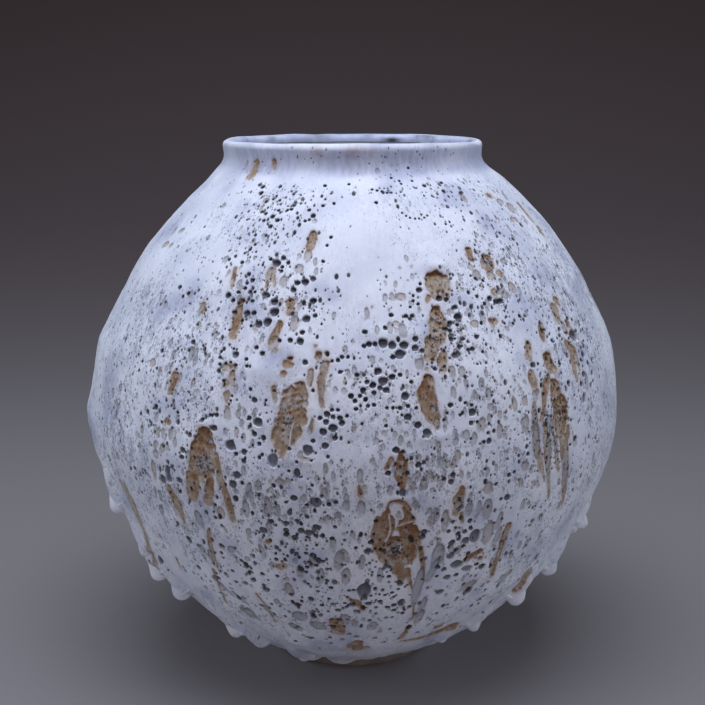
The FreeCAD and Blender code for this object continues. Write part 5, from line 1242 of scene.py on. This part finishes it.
# ---------------------------------------------------------------------------
# Lathed pieces: liner and foot
# ---------------------------------------------------------------------------
def lathe(name, prof, cols, displace, attrs=None, close=True):
    """Closed lathe of (r, z, nr, nz) rows; displace(row index array, angle) gives mm along the normal."""
    prof = np.array(prof, float)
    n = len(prof)
    ang = -math.pi + 2 * math.pi * np.arange(cols) / cols
    d = displace(prof, ang)
    r = prof[:, 0:1] + prof[:, 2:3] * d
    z = prof[:, 1:2] + prof[:, 3:4] * d
    V3 = np.stack([r * np.sin(ang), -r * np.cos(ang), z + 0 * r], -1).reshape(-1, 3)
    tri = []
    I, J = np.meshgrid(np.arange(n if close else n - 1), np.arange(cols), indexing="ij")
    I2 = (I + 1) % n
    J2 = (J + 1) % cols
    q00, q01, q10, q11 = I * cols + J, I * cols + J2, I2 * cols + J, I2 * cols + J2
    tri = np.concatenate([np.stack([q00, q01, q11], -1).reshape(-1, 3), np.stack([q00, q11, q10], -1).reshape(-1, 3)])
    return V3, tri, ang


# liner: from the centre of the floor up to the lip, then back 1 mm behind it
def body_inner(depth):
    pts = []
    for i in range(2, len(BODY) - 1):
        v, dd = profile.at(profile.t[i])
        nn = np.array([dd[1], -dd[0]]) / math.hypot(*dd)
        pts.append(tuple(v - nn * depth))
    return pts


liner_curve = Spline([(0.6, 21.0), (24.0, 21.2), (47.0, 22.2), (67.4, 26.3)] + body_inner(15.0)
                     + [(107.1, 416.8), (102.7, 423.2), (101.0, 429.0), (100.8, 436.0), (101.05, 445.7)])
n_l = 220
_t = np.linspace(0, liner_curve.t[-1], n_l)
_lv, _ld = liner_curve.at(_t)
_ln = np.stack([-_ld[:, 1], _ld[:, 0]], 1) / np.hypot(_ld[:, 0], _ld[:, 1])[:, None]     # into the room of the jar
front = np.concatenate([_lv, _ln], 1)
back = np.concatenate([(_lv - _ln * 1.0)[::-6], -_ln[::-6]], 1)
prof_l = np.concatenate([front, back])
LC = 512


def liner_disp(prof, ang):
    t = np.concatenate([_t, np.zeros(len(prof) - n_l)])
    live = np.concatenate([np.ones(n_l), np.zeros(len(prof) - n_l)]) * np.clip((liner_curve.t[-1] - t) / 14.0, 0, 1) ** 1.5
    spiral = 0.42 * np.sin(t[:, None] / 9.5 * 2 * math.pi + ang[None, :] + 0.8 * np.sin(2 * ang)[None, :])
    r = np.maximum(prof[:, 0:1], 1.0)
    x, y, z = r * np.sin(ang), r * np.cos(ang), prof[:, 1:2] + 0 * r * ang
    n1 = gradient_noise(x / 38 + 3, y / 38 + 8, z / 38 + 1, 61)
    n2 = gradient_noise(x / 12 + 3, y / 12 + 8, z / 12 + 1, 62)
    d = spiral + 0.7 * n1 + 0.25 * n2
    near_axis = np.clip(prof[:, 0:1] / 30.0, 0, 1)
    return d * live[:, None] * near_axis


V3, tri, ang = lathe("liner", prof_l, LC, liner_disp)
tri = tri[:, ::-1]
# radius and azimuth of the liner's points, which nothing below uses
rr_ = np.hypot(V3[:, 0], V3[:, 1])
aa_ = np.arctan2(V3[:, 0], -V3[:, 1])
lin = make_mesh("liner_coat", V3, tri, None, None)

# the clay of the two bowls and the slip between them, as far in as the glaze goes
room = Spline([(0.02, 20.0), (24.0, 20.2), (47.0, 21.2), (67.0, 24.6)] + body_inner(14.0) + [(108.0, 417.2), (103.7, 423.4), (102.0, 429.2)])
_rt = np.linspace(0, room.t[-1], 3001)
_rv = room.at(_rt)[0]


def room_between(z0, z1, n):
    """Inside of the wall, climbing."""
    k0 = int(np.argmin(np.abs(_rv[:, 1] - z0))) if z0 > 21 else 0
    k1 = int(np.argmin(np.abs(_rv[:, 1] - z1)))
    return [tuple(_rv[int(round(q))]) for q in np.linspace(k0, k1, n)]


def plain_lathe(name, pts, cols, move=None):
    prof = np.array([(r, z, 0.0, 1.0) for r, z in pts])
    V3, tri, ang = lathe(name, prof, cols, move or (lambda p, a: np.zeros((len(p), len(a)))))
    return make_mesh(name, V3, tri)


def base_relief(prof, ang):
    """Turning spiral and grit on the base inside the foot."""
    r = prof[:, 0:1]
    base = (prof[:, 1:2] < 9.5) & (r < 53.5)
    x, y = r * np.sin(ang), r * np.cos(ang)
    d = 0.22 * np.sin(r / 4.5 * 2 * math.pi + ang[None, :]) + 0.25 * gradient_noise(x / 11, y / 11, 0 * x + 3.3, 81) + 0.08 * gradient_noise(x / 2.2, y / 2.2, 0 * x, 82)
    return np.where(base, d * np.clip(r / 8.0, 0, 1) * np.clip((53.5 - r) / 3.0, 0, 1), 0.0)


_base = [(float(r), 9.0) for r in np.linspace(0.02, 53.4, 90)] + [(54.0, 9.3), (54.0, 11.5), (70.0, 11.6)]
bowl_low = plain_lathe("lower_bowl_clay", _base + clay_between(12.2, 226.0, 60) + room_between(20.0, 224.0, 60)[::-1], 360, base_relief)
bowl_high = plain_lathe("upper_bowl_clay", clay_between(227.0, 429.2, 60) + [(107.2, 429.3)] + room_between(225.0, 429.2, 60)[::-1], 360)
seam = plain_lathe("waist_slip_ring", clay_between(226.0, 227.0, 3) + room_between(224.0, 225.0, 3)[::-1], 360)

# foot ring with turning marks and worn, chipped edges
foot_pts = []


def seg(p, q, n, nr, nz):
    for t in np.linspace(0, 1, n, endpoint=False):
        foot_pts.append((p[0] + (q[0] - p[0]) * t, p[1] + (q[1] - p[1]) * t, nr, nz))


seg((56.4, 0.0), (66.4, 0.0), 10, 0.0, -1.0)
seg((66.4, 0.0), (67.3, 0.35), 3, 0.5, -0.85)
seg((67.3, 0.35), (68.2, 1.5), 4, 0.9, -0.4)
seg((68.2, 1.5), (70.28, 10.45), 26, 0.98, -0.2)
seg((70.28, 10.45), (55.0, 10.45), 8, 0.0, 1.0)
seg((55.0, 10.45), (55.0, 1.4), 20, -1.0, 0.0)
seg((55.0, 1.4), (56.4, 0.0), 4, -0.7, -0.7)
foot_prof = np.array(foot_pts)
FC = 900


def foot_disp(prof, ang):
    r = prof[:, 0:1]
    x, y, z = r * np.sin(ang), r * np.cos(ang), prof[:, 1:2] + 0 * r * ang
    n1 = gradient_noise(x / 9 + 3, y / 9 + 8, z / 4 + 1, 71)
    n2 = gradient_noise(x / 2.4, y / 2.4, z / 2.4, 72)
    n3 = gradient_noise(x / 1.1, y / 1.1, z / 1.1, 73)
    marks = 0.16 * np.sin(prof[:, 1:2] * 4.4 + 0.4 * np.sin(ang)[None, :])
    chips = np.clip(n1 - 0.34, 0, 1) * 2.6
    side = (np.abs(prof[:, 2:3]) > 0.3)
    under = (prof[:, 3:4] < -0.9)
    top = (prof[:, 3:4] > 0.9)
    d = 0.22 * n1 + 0.14 * n2 + 0.08 * n3 + marks * side - chips * side * (prof[:, 1:2] < 3.2)
    d = np.where(under, np.minimum(0.0, 0.22 * n1 + 0.12 * n2 - 0.05), d)
    return np.where(top, 0.0, np.clip(d, -1.1, 0.35))


V3f, trif, angf = lathe("foot", foot_prof, FC, foot_disp)
V3f[:, 2] = np.maximum(V3f[:, 2], 0.0)
foot = make_mesh("foot_ring_clay", V3f, trif)

# ---------------------------------------------------------------------------
# Drips: hanging beads of glaze, 24 separate drops rooted in the coat
# ---------------------------------------------------------------------------
dv, dt, dm = [], [], []
off = 0
for di, (az, z, r, length) in enumerate(DRIPS):
    s = float(np.interp(z, ROW_Z[:ROW_NECK], ROW_S[:ROW_NECK]))
    (pr0, pz0), (tr, tz) = profile.at(s)
    ln = math.hypot(tr, tz)
    tr, tz = tr / ln, tz / ln
    nr, nz = tz, -tr
    rg = np.random.default_rng(500 + di)
    # lathe about the drop's own axis
    L = length * 0.90
    rb = 0.98 * r
    prof_d = [(0.0, L), (0.30 * rb, 0.86 * L), (0.56 * rb, 0.64 * L), (0.78 * rb, 0.40 * L), (0.94 * rb, 0.16 * L), (1.0 * rb, -0.06 * rb),
              (0.93 * rb, -0.42 * rb), (0.70 * rb, -0.76 * rb), (0.38 * rb, -0.95 * rb), (0.0, -1.02 * rb)]
    sp = Spline(prof_d)
    tt = np.linspace(0, sp.t[-1], 40)
    pv = sp.at(tt)[0]
    nc = 48
    an = 2 * math.pi * np.arange(nc) / nc
    ph = rg.uniform(0, 6.28, 3)
    vs = [(0.0, 0.0, pv[0, 1])]
    for q in range(1, 39):
        w = 1 + 0.06 * np.sin(2 * an + ph[0]) + 0.04 * np.sin(3 * an + ph[1] + pv[q, 1] * 0.3)
        vs += [(max(pv[q, 0], 0.05) * w[k] * math.cos(an[k]), max(pv[q, 0], 0.05) * w[k] * math.sin(an[k]), pv[q, 1]) for k in range(nc)]
    vs.append((0.0, 0.0, pv[-1, 1]))
    vs = np.array(vs)
    fs = []
    for k in range(nc):
        fs.append((0, 1 + (k + 1) % nc, 1 + k))
    for q in range(37):
        for k in range(nc):
            p0, p1 = 1 + q * nc + k, 1 + q * nc + (k + 1) % nc
            fs += [(p0, p1, p1 + nc), (p0, p1 + nc, p0 + nc)]
    last = len(vs) - 1
    for k in range(nc):
        fs.append((last, 1 + 37 * nc + k, 1 + 37 * nc + (k + 1) % nc))
    # lean: up axis follows the surface, its tip sinks into the coat
    lean = math.atan2(0.75 * rb, L)
    ur, uz = tr * math.cos(lean) - nr * math.sin(lean), tz * math.cos(lean) - nz * math.sin(lean)
    wr, wz = uz, -ur
    a = math.radians(az)
    here = base_lumps[int(np.argmin(np.abs(ROW_S - s))), int(round((math.radians(az) + math.pi) / STEP_A)) % NU]
    out_by = (0.55 if az == 67.2 else 0.30 if 40 < abs(az) < 100 else -0.10) * r + float(here)
    cr_, cz_ = pr0 + nr * out_by - tr * 0.62 * r, pz0 + nz * out_by - tz * 0.62 * r
    along_r = vs[:, 0] * wr + vs[:, 2] * ur + cr_
    along_z = vs[:, 0] * wz + vs[:, 2] * uz + cz_
    side = vs[:, 1]
    x = along_r * math.sin(a) + side * math.cos(a)
    y = -along_r * math.cos(a) + side * math.sin(a)
    dv.append(np.stack([x, y, along_z], 1))
    dt.append(np.array(fs) + off)
    off += len(vs)
dv, dt = np.concatenate(dv), np.concatenate(dt)
drips = make_mesh("drip_beads", dv, dt)

# ---------------------------------------------------------------------------
# Materials
# ---------------------------------------------------------------------------


class Nodes:
    def __init__(self, name):
        self.mat = bpy.data.materials.new(name)
        self.mat.use_nodes = True
        self.t = self.mat.node_tree
        self.t.nodes.clear()
        self.out = self.t.nodes.new("ShaderNodeOutputMaterial")
        self.bsdf = self.t.nodes.new("ShaderNodeBsdfPrincipled")
        self.t.links.new(self.bsdf.outputs[0], self.out.inputs[0])

    def link(self, a, b):
        self.t.links.new(a, b)

    def new(self, kind, **kw):
        n = self.t.nodes.new(kind)
        for k, v in kw.items():
            setattr(n, k, v)
        return n

    def attr(self, name):
        n = self.new("ShaderNodeAttribute", attribute_name=name)
        return n

    def split(self, name):
        n = self.new("ShaderNodeSeparateXYZ")
        self.link(self.attr(name).outputs["Vector"], n.inputs[0])
        return n.outputs[0], n.outputs[1], n.outputs[2]

    def coords(self):
        return self.new("ShaderNodeTexCoord").outputs["Object"]

    def noise(self, vec, scale, detail=2.0, rough=0.5):
        n = self.new("ShaderNodeTexNoise")
        n.inputs["Scale"].default_value = scale
        n.inputs["Detail"].default_value = detail
        n.inputs["Roughness"].default_value = rough
        self.link(vec, n.inputs["Vector"])
        return n.outputs["Fac"]

    def voronoi(self, vec, scale, feature="F1", rand=1.0):
        n = self.new("ShaderNodeTexVoronoi", feature=feature)
        n.inputs["Scale"].default_value = scale
        n.inputs["Randomness"].default_value = rand
        self.link(vec, n.inputs["Vector"])
        return n.outputs["Distance"]

    def cells(self, vec, scale):
        """Distance to the nearest cell centre, and two random numbers of that cell."""
        n = self.new("ShaderNodeTexVoronoi", feature="F1")
        n.inputs["Scale"].default_value = scale
        n.inputs["Randomness"].default_value = 1.0
        self.link(vec, n.inputs["Vector"])
        c = self.new("ShaderNodeSeparateColor")
        self.link(n.outputs["Color"], c.inputs[0])
        return n.outputs["Distance"], c.outputs[0], c.outputs[1]

    def specks(self, vec, scale, base, gain, dens):
        """One speck in each cell, larger where dens is high."""
        d, r1, r2 = self.cells(vec, scale)
        size = self.math("MULTIPLY", self.math("MULTIPLY_ADD", dens, gain, base), self.math("MULTIPLY_ADD", r1, 0.9, 0.35))
        return self.math("MULTIPLY", self.ramp(self.math("SUBTRACT", size, d), -0.05, 0.07), self.math("MULTIPLY_ADD", r2, 0.6, 0.4))

    def math(self, op, a, b=None, c=None):
        n = self.new("ShaderNodeMath", operation=op)
        for k, v in enumerate((a, b, c)):
            if v is None:
                continue
            if isinstance(v, (int, float)):
                n.inputs[k].default_value = v
            else:
                self.link(v, n.inputs[k])
        return n.outputs[0]

    def ramp(self, v, lo, hi, out_lo=0.0, out_hi=1.0):
        n = self.new("ShaderNodeMapRange", interpolation_type="SMOOTHSTEP")
        n.inputs["From Min"].default_value = lo
        n.inputs["From Max"].default_value = hi
        n.inputs["To Min"].default_value = out_lo
        n.inputs["To Max"].default_value = out_hi
        self.link(v, n.inputs["Value"])
        return n.outputs["Result"]

    def mix(self, fac, a, b):
        n = self.new("ShaderNodeMix", data_type="RGBA")
        for sock, v in ((n.inputs[0], fac), (n.inputs[6], a), (n.inputs[7], b)):
            if isinstance(v, (int, float)):
                sock.default_value = v
            elif isinstance(v, tuple):
                sock.default_value = v + (1.0,)
            else:
                self.link(v, sock)
        return n.outputs[2]

    def bump(self, height, strength, dist, normal=None):
        n = self.new("ShaderNodeBump")
        n.inputs["Strength"].default_value = strength
        n.inputs["Distance"].default_value = dist
        self.link(height, n.inputs["Height"])
        if normal is not None:
            self.link(normal, n.inputs["Normal"])
        return n.outputs["Normal"]


def crater_glaze():
    m = Nodes("crater_glaze")
    co = m.coords()
    flow = m.attr("flow").outputs["Vector"]
    clay_, iron_and_shade_, slate_ = m.split("mk_a")
    stain_and_shade_, lens_, warm_ = m.split("mk_b")
    crust_, stip_, tone_ = m.split("mk_c")
    # white glaze, slightly blue, with cloudy changes
    cloud = m.noise(co, 24.0, 4.0, 0.55)
    white = m.mix(m.ramp(cloud, 0.36, 0.66), (0.68, 0.705, 0.795), (0.805, 0.825, 0.895))
    white = m.mix(m.math("MULTIPLY", m.ramp(tone_, -0.1, 0.5), 0.35), white, (0.865, 0.875, 0.93))
    white = m.mix(m.math("MULTIPLY", m.ramp(m.noise(flow, 300.0, 5.0, 0.72), 0.47, 0.70), 0.30), white, (0.56, 0.585, 0.69))
    # stipple: specks drawn out down the jar, in drifts
    gather = m.ramp(m.noise(flow, 150.0, 3.0, 0.6), 0.36, 0.66)
    dens = m.math("MULTIPLY", stip_, m.math("MULTIPLY_ADD", gather, 0.85, 0.30))
    s1 = m.specks(flow, 540.0, 0.05, 0.40, dens)
    s2 = m.specks(flow, 980.0, 0.03, 0.42, dens)
    s3 = m.specks(co, 430.0, -0.02, 0.26, dens)
    fleck = m.math("MAXIMUM", s1, m.math("MULTIPLY", s2, 0.85))
    veil = m.math("MULTIPLY", m.math("MULTIPLY", m.ramp(m.noise(flow, 240.0, 3.0, 0.65), 0.40, 0.70), stip_), 0.50)
    col = m.mix(veil, white, (0.47, 0.50, 0.60))
    col = m.mix(m.math("MULTIPLY", fleck, 0.88), col, (0.225, 0.24, 0.31))
    col = m.mix(m.math("MULTIPLY", s3, 0.9), col, (0.06, 0.055, 0.065))
    # painted shade: darker blue-grey on the neck under the lip; the same band lies under the thin wash on the inside of
    # the lip
    neck_shade_and_lip_wash = m.ramp(tone_, -0.02, -0.64)
    col = m.mix(m.math("MULTIPLY", neck_shade_and_lip_wash, 0.86), col, m.mix(m.ramp(m.noise(flow, 190.0, 3.0, 0.6), 0.36, 0.68), (0.37, 0.395, 0.53), (0.49, 0.52, 0.66)))
    wash = m.ramp(tone_, -0.70, -0.95)
    wash_c = m.mix(m.ramp(m.noise(co, 60.0, 3.0, 0.6), 0.34, 0.66), (0.46, 0.50, 0.65), (0.64, 0.685, 0.85))
    wash_c = m.mix(m.ramp(m.noise(co, 40.0, 3.0, 0.6), 0.58, 0.72), wash_c, (0.22, 0.235, 0.32))
    col = m.mix(m.math("MULTIPLY", wash, 0.92), col, wash_c)
    # pinkish stain round the bare places
    stain = m.math("MULTIPLY", m.math("MULTIPLY", warm_, m.math("SUBTRACT", 1.0, lens_)), m.ramp(m.noise(co, 260.0, 3.0, 0.6), 0.25, 0.7, 0.35, 0.8))
    # the stain turns darker inside the neck band of painted shade
    col = m.mix(stain, col, m.mix(neck_shade_and_lip_wash, (0.54, 0.43, 0.385), (0.31, 0.245, 0.28)))
    # blisters: thin glaze over the clay
    lens_c = m.mix(warm_, (0.24, 0.25, 0.29), (0.37, 0.265, 0.17))
    lens_c = m.mix(m.ramp(m.noise(co, 800.0, 2.0, 0.6), 0.50, 0.76, 0.0, 0.36), lens_c, (0.50, 0.50, 0.53))
    lens_c = m.mix(m.math("MULTIPLY", m.specks(co, 900.0, 0.10, 0.2, stip_), 0.6), lens_c, (0.09, 0.085, 0.10))
    col = m.mix(m.math("MULTIPLY", lens_, 0.95), col, lens_c)
    # bare clay, from pale and greyed to brown
    k1 = m.noise(co, 150.0, 4.0, 0.6)
    k2 = m.noise(co, 420.0, 3.0, 0.65)
    t = m.math("ADD", warm_, m.math("MULTIPLY", m.math("SUBTRACT", k1, 0.5), 1.3))
    t = m.math("ADD", t, m.math("MULTIPLY", m.math("SUBTRACT", k2, 0.5), 0.7))
    clay_c = m.mix(m.ramp(t, 0.0, 0.55), (0.45, 0.39, 0.34), (0.325, 0.222, 0.138))
    clay_c = m.mix(m.ramp(t, 0.45, 1.05), clay_c, (0.215, 0.098, 0.036))
    clay_c = m.mix(m.ramp(m.noise(co, 230.0, 4.0, 0.65), 0.50, 0.72, 0.0, 0.5), clay_c, (0.13, 0.095, 0.075))
    pale = m.math("MULTIPLY", m.ramp(m.noise(flow, 420.0, 3.0, 0.6), 0.52, 0.70), m.ramp(warm_, 0.2, 0.9, 0.5, 0.08))
    clay_c = m.mix(pale, clay_c, (0.52, 0.475, 0.45))
    clay_c = m.mix(m.math("MULTIPLY", m.specks(co, 900.0, 0.15, 0.1, stip_), 0.65), clay_c, (0.12, 0.07, 0.05))
    crust_c = m.mix(m.ramp(m.voronoi(co, 700.0), 0.15, 0.45), (0.125, 0.12, 0.14), (0.37, 0.355, 0.37))
    clay_c = m.mix(m.math("MULTIPLY", crust_, 0.85), clay_c, crust_c)
    col = m.mix(clay_, col, clay_c)
    # hollows of burst bubbles
    col = m.mix(m.math("MULTIPLY", slate_, 0.93), col, (0.165, 0.17, 0.215))
    # iron at the bare patches' edges, with painted shadow under their top edges and on blisters' upper rims
    col = m.mix(m.math("MULTIPLY", iron_and_shade_, 0.88), col, (0.12, 0.050, 0.024))
    # near-black painted shade in holes, bowls and blister outlines, and dark stains inside the lip
    col = m.mix(m.math("MULTIPLY", stain_and_shade_, 0.97), col, (0.014, 0.012, 0.015))
    m.link(col, m.bsdf.inputs["Base Color"])
    r = m.math("MULTIPLY_ADD", clay_, 0.28, m.ramp(cloud, 0.3, 0.7, 0.56, 0.68))
    m.link(r, m.bsdf.inputs["Roughness"])
    # relief too fine for the mesh
    b = m.bump(m.noise(co, 260.0, 3.0, 0.5), 0.25, 0.0006)
    b = m.bump(m.math("MULTIPLY", m.math("MAXIMUM", fleck, s3), -1.0), 0.14, 0.0004, b)
    b = m.bump(m.math("MULTIPLY", m.noise(co, 1100.0, 4.0, 0.7), clay_), 0.6, 0.0006, b)
    m.link(b, m.bsdf.inputs["Normal"])
    return m.mat


def smooth_glaze():
    m = Nodes("smooth_glaze")
    co = m.coords()
    cloud = m.noise(co, 26.0, 4.0, 0.55)
    col = m.mix(m.ramp(cloud, 0.35, 0.68), (0.66, 0.685, 0.785), (0.80, 0.82, 0.89))
    dens = m.ramp(m.noise(co, 60.0, 3.0, 0.6), 0.36, 0.66, 0.15, 0.75)
    s1 = m.specks(co, 430.0, 0.05, 0.40, dens)
    s2 = m.specks(co, 800.0, 0.03, 0.42, dens)
    fleck = m.math("MAXIMUM", s1, s2)
    col = m.mix(m.math("MULTIPLY", fleck, 0.45), col, (0.235, 0.25, 0.315))
    m.link(col, m.bsdf.inputs["Base Color"])
    m.link(m.ramp(cloud, 0.3, 0.7, 0.46, 0.58), m.bsdf.inputs["Roughness"])
    b = m.bump(m.noise(co, 300.0, 3.0, 0.5), 0.2, 0.0005)
    b = m.bump(m.math("MULTIPLY", fleck, -1.0), 0.35, 0.0004, b)
    m.link(b, m.bsdf.inputs["Normal"])
    return m.mat


def liner_glaze():
    m = Nodes("liner_glaze")
    co = m.coords()
    sep = m.new("ShaderNodeSeparateXYZ")
    m.link(co, sep.inputs[0])
    big = m.noise(co, 17.0, 5.0, 0.6)
    fine = m.noise(co, 240.0, 3.0, 0.6)
    col = m.mix(m.ramp(big, 0.38, 0.66), (0.24, 0.25, 0.30), (0.60, 0.61, 0.66))
    col = m.mix(m.math("MULTIPLY", m.ramp(m.noise(co, 34.0, 4.0, 0.6), 0.60, 0.70), 0.8), col, (0.055, 0.05, 0.06))
    col = m.mix(m.math("MULTIPLY", m.ramp(fine, 0.55, 0.72), 0.5), col, (0.20, 0.20, 0.24))
    near_lip = m.ramp(sep.outputs[2], 0.384, 0.412)
    col = m.mix(m.math("MULTIPLY", near_lip, 0.9), col, m.mix(m.ramp(m.noise(co, 60.0, 3.0, 0.6), 0.34, 0.66), (0.46, 0.50, 0.65), (0.66, 0.70, 0.86)))
    m.link(col, m.bsdf.inputs["Base Color"])
    m.link(m.ramp(big, 0.3, 0.7, 0.36, 0.55), m.bsdf.inputs["Roughness"])
    m.link(m.bump(fine, 0.35, 0.0006), m.bsdf.inputs["Normal"])
    return m.mat


def bare_clay():
    m = Nodes("bare_clay")
    co = m.coords()
    k1 = m.noise(co, 60.0, 5.0, 0.6)
    k2 = m.noise(co, 480.0, 3.0, 0.6)
    col = m.mix(m.ramp(k1, 0.36, 0.66), (0.13, 0.095, 0.085), (0.215, 0.155, 0.13))
    col = m.mix(m.math("MULTIPLY", m.ramp(k2, 0.58, 0.72), 0.6), col, (0.30, 0.25, 0.22))
    col = m.mix(m.ramp(m.noise(co, 1300.0, 2.0, 0.5), 0.64, 0.74), col, (0.04, 0.03, 0.028))
    m.link(col, m.bsdf.inputs["Base Color"])
    m.link(m.ramp(k2, 0.3, 0.7, 0.72, 0.92), m.bsdf.inputs["Roughness"])
    b = m.bump(k2, 0.5, 0.0008)
    b = m.bump(m.noise(co, 1500.0, 3.0, 0.7), 0.5, 0.0004, b)
    m.link(b, m.bsdf.inputs["Normal"])
    return m.mat


def turned_clay():
    """Clay with the spiral of the turning tool, for the base inside the foot."""
    m = Nodes("turned_clay")
    co = m.coords()
    sep = m.new("ShaderNodeSeparateXYZ")
    m.link(co, sep.inputs[0])
    x2 = m.math("MULTIPLY", sep.outputs[0], sep.outputs[0])
    y2 = m.math("MULTIPLY", sep.outputs[1], sep.outputs[1])
    rad = m.math("SQRT", m.math("ADD", x2, y2))
    ang_ = m.math("ARCTAN2", sep.outputs[1], sep.outputs[0])
    ph = m.math("MULTIPLY_ADD", rad, 1400.0, ang_)
    wv = m.math("SINE", ph)
    k1 = m.noise(co, 55.0, 5.0, 0.6)
    k2 = m.noise(co, 520.0, 3.0, 0.6)
    col = m.mix(m.ramp(k1, 0.36, 0.66), (0.24, 0.14, 0.09), (0.38, 0.25, 0.175))
    col = m.mix(m.math("MULTIPLY", m.ramp(wv, 0.2, 1.0), 0.35), col, (0.17, 0.10, 0.065))
    col = m.mix(m.math("MULTIPLY", m.ramp(k2, 0.58, 0.72), 0.6), col, (0.46, 0.36, 0.29))
    m.link(col, m.bsdf.inputs["Base Color"])
    m.link(m.ramp(k2, 0.3, 0.7, 0.74, 0.92), m.bsdf.inputs["Roughness"])
    b = m.bump(wv, 0.5, 0.0006)
    b = m.bump(k2, 0.5, 0.0006, b)
    m.link(b, m.bsdf.inputs["Normal"])
    return m.mat


MAT_CRATER, MAT_SMOOTH, MAT_LINER, MAT_CLAY, MAT_TURNED = crater_glaze(), smooth_glaze(), liner_glaze(), bare_clay(), turned_clay()
for ob, mat in ((lower, MAT_CRATER), (upper, MAT_CRATER), (neck, MAT_CRATER), (lin, MAT_LINER), (foot, MAT_CLAY), (drips, MAT_SMOOTH),
                (bowl_low, MAT_TURNED), (bowl_high, MAT_TURNED), (seam, MAT_CLAY)):
    ob.data.materials.append(mat)

for node, name, piece in (("lower_glaze", "crater_glaze", lower), ("upper_glaze", "crater_glaze", upper), ("neck_glaze", "neck_glaze", neck),
                          ("inner_glaze", "liner_glaze", lin), ("foot_ring", "bare_clay", foot), ("glaze_drips", "drip_glaze", drips),
                          ("lower_bowl", "bowl_clay", bowl_low), ("upper_bowl", "bowl_clay", bowl_high), ("waist_slip", "slip", seam)):
    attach(piece, "root")
    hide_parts(node)
for node in ("neck_collar", "foot_slip", "neck_slip"):
    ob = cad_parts[node]
    mat = MAT_CLAY
    if len(ob.material_slots) == 0:
        ob.data.materials.append(mat)
    for k in range(len(ob.material_slots)):
        ob.material_slots[k].material = mat

# ---------------------------------------------------------------------------
# Floor, lights, world
# ---------------------------------------------------------------------------
fl = Nodes("pale_floor")
_fc = fl.new("ShaderNodeSeparateXYZ")
fl.link(fl.coords(), _fc.inputs[0])
_falloff_up = fl.ramp(_fc.outputs[2], 0.05, 1.7)
_falloff_back = fl.ramp(_fc.outputs[1], 0.9, 2.0)
# painted shade: the sweep darkens toward the back and up the wall, standing in for the light falling off
fl.link(fl.mix(_falloff_up, fl.mix(_falloff_back, (0.255, 0.236, 0.238), (0.185, 0.150, 0.150)), (0.115, 0.066, 0.060)), fl.bsdf.inputs["Base Color"])
fl.bsdf.inputs["Roughness"].default_value = 0.75
SWEEP_Y, SWEEP_R = 1.0, 2.40
row = [(-6.0, 0.0), (-1.0, 0.0), (SWEEP_Y, 0.0)]
row += [(SWEEP_Y + SWEEP_R * math.sin(t), SWEEP_R * (1 - math.cos(t))) for t in np.linspace(0, math.pi / 2, 49)[1:]]
row += [(SWEEP_Y + SWEEP_R, 4.5)]
me = bpy.data.meshes.new("floor")
vs = [(x, float(y), float(z)) for y, z in row for x in (-6.0, 6.0)]
me.from_pydata(vs, [], [(2 * k, 2 * k + 1, 2 * k + 3, 2 * k + 2) for k in range(len(row) - 1)])
me.polygons.foreach_set("use_smooth", np.ones(len(me.polygons), bool))
me.materials.append(fl.mat)
floor = bpy.data.objects.new("floor", me)
bpy.context.scene.collection.objects.link(floor)


def area(name, loc, target, size, power, color):
    d = bpy.data.lights.new(name, "AREA")
    d.shape = "RECTANGLE"
    d.size, d.size_y = size
    d.energy = power
    d.color = color
    o = bpy.data.objects.new(name, d)
    o.location = loc
    o.rotation_euler = (Vector(target) - Vector(loc)).to_track_quat("-Z", "Y").to_euler()
    bpy.context.scene.collection.objects.link(o)
    return o


area("top_light", (-0.05, -0.30, 1.75), (0, 0, 0.2), (1.5, 1.1), 26.2, (0.77, 0.835, 1.0))
area("front_fill", (0.1, -2.4, 0.27), (0, 0, 0.12), (1.8, 0.5), 9.4, (0.95, 0.91, 1.0))
area("left_soft", (-1.55, -0.25, 0.65), (0, 0, 0.18), (1.0, 1.1), 7.4, (0.77, 0.87, 1.0))
area("right_soft", (1.55, -0.25, 0.65), (0, 0, 0.18), (1.0, 1.1), 6.6, (0.78, 0.88, 1.0))
world = bpy.context.scene.world or bpy.data.worlds.new("world")
bpy.context.scene.world = world
world.use_nodes = True
bg = next(n for n in world.node_tree.nodes if n.type == "BACKGROUND")
bg.inputs[0].default_value = (1.0, 0.84, 0.86, 1.0)
bg.inputs[1].default_value = 0.05
bpy.context.scene.view_settings.view_transform = "Standard"
bpy.context.scene.view_settings.look = "None"
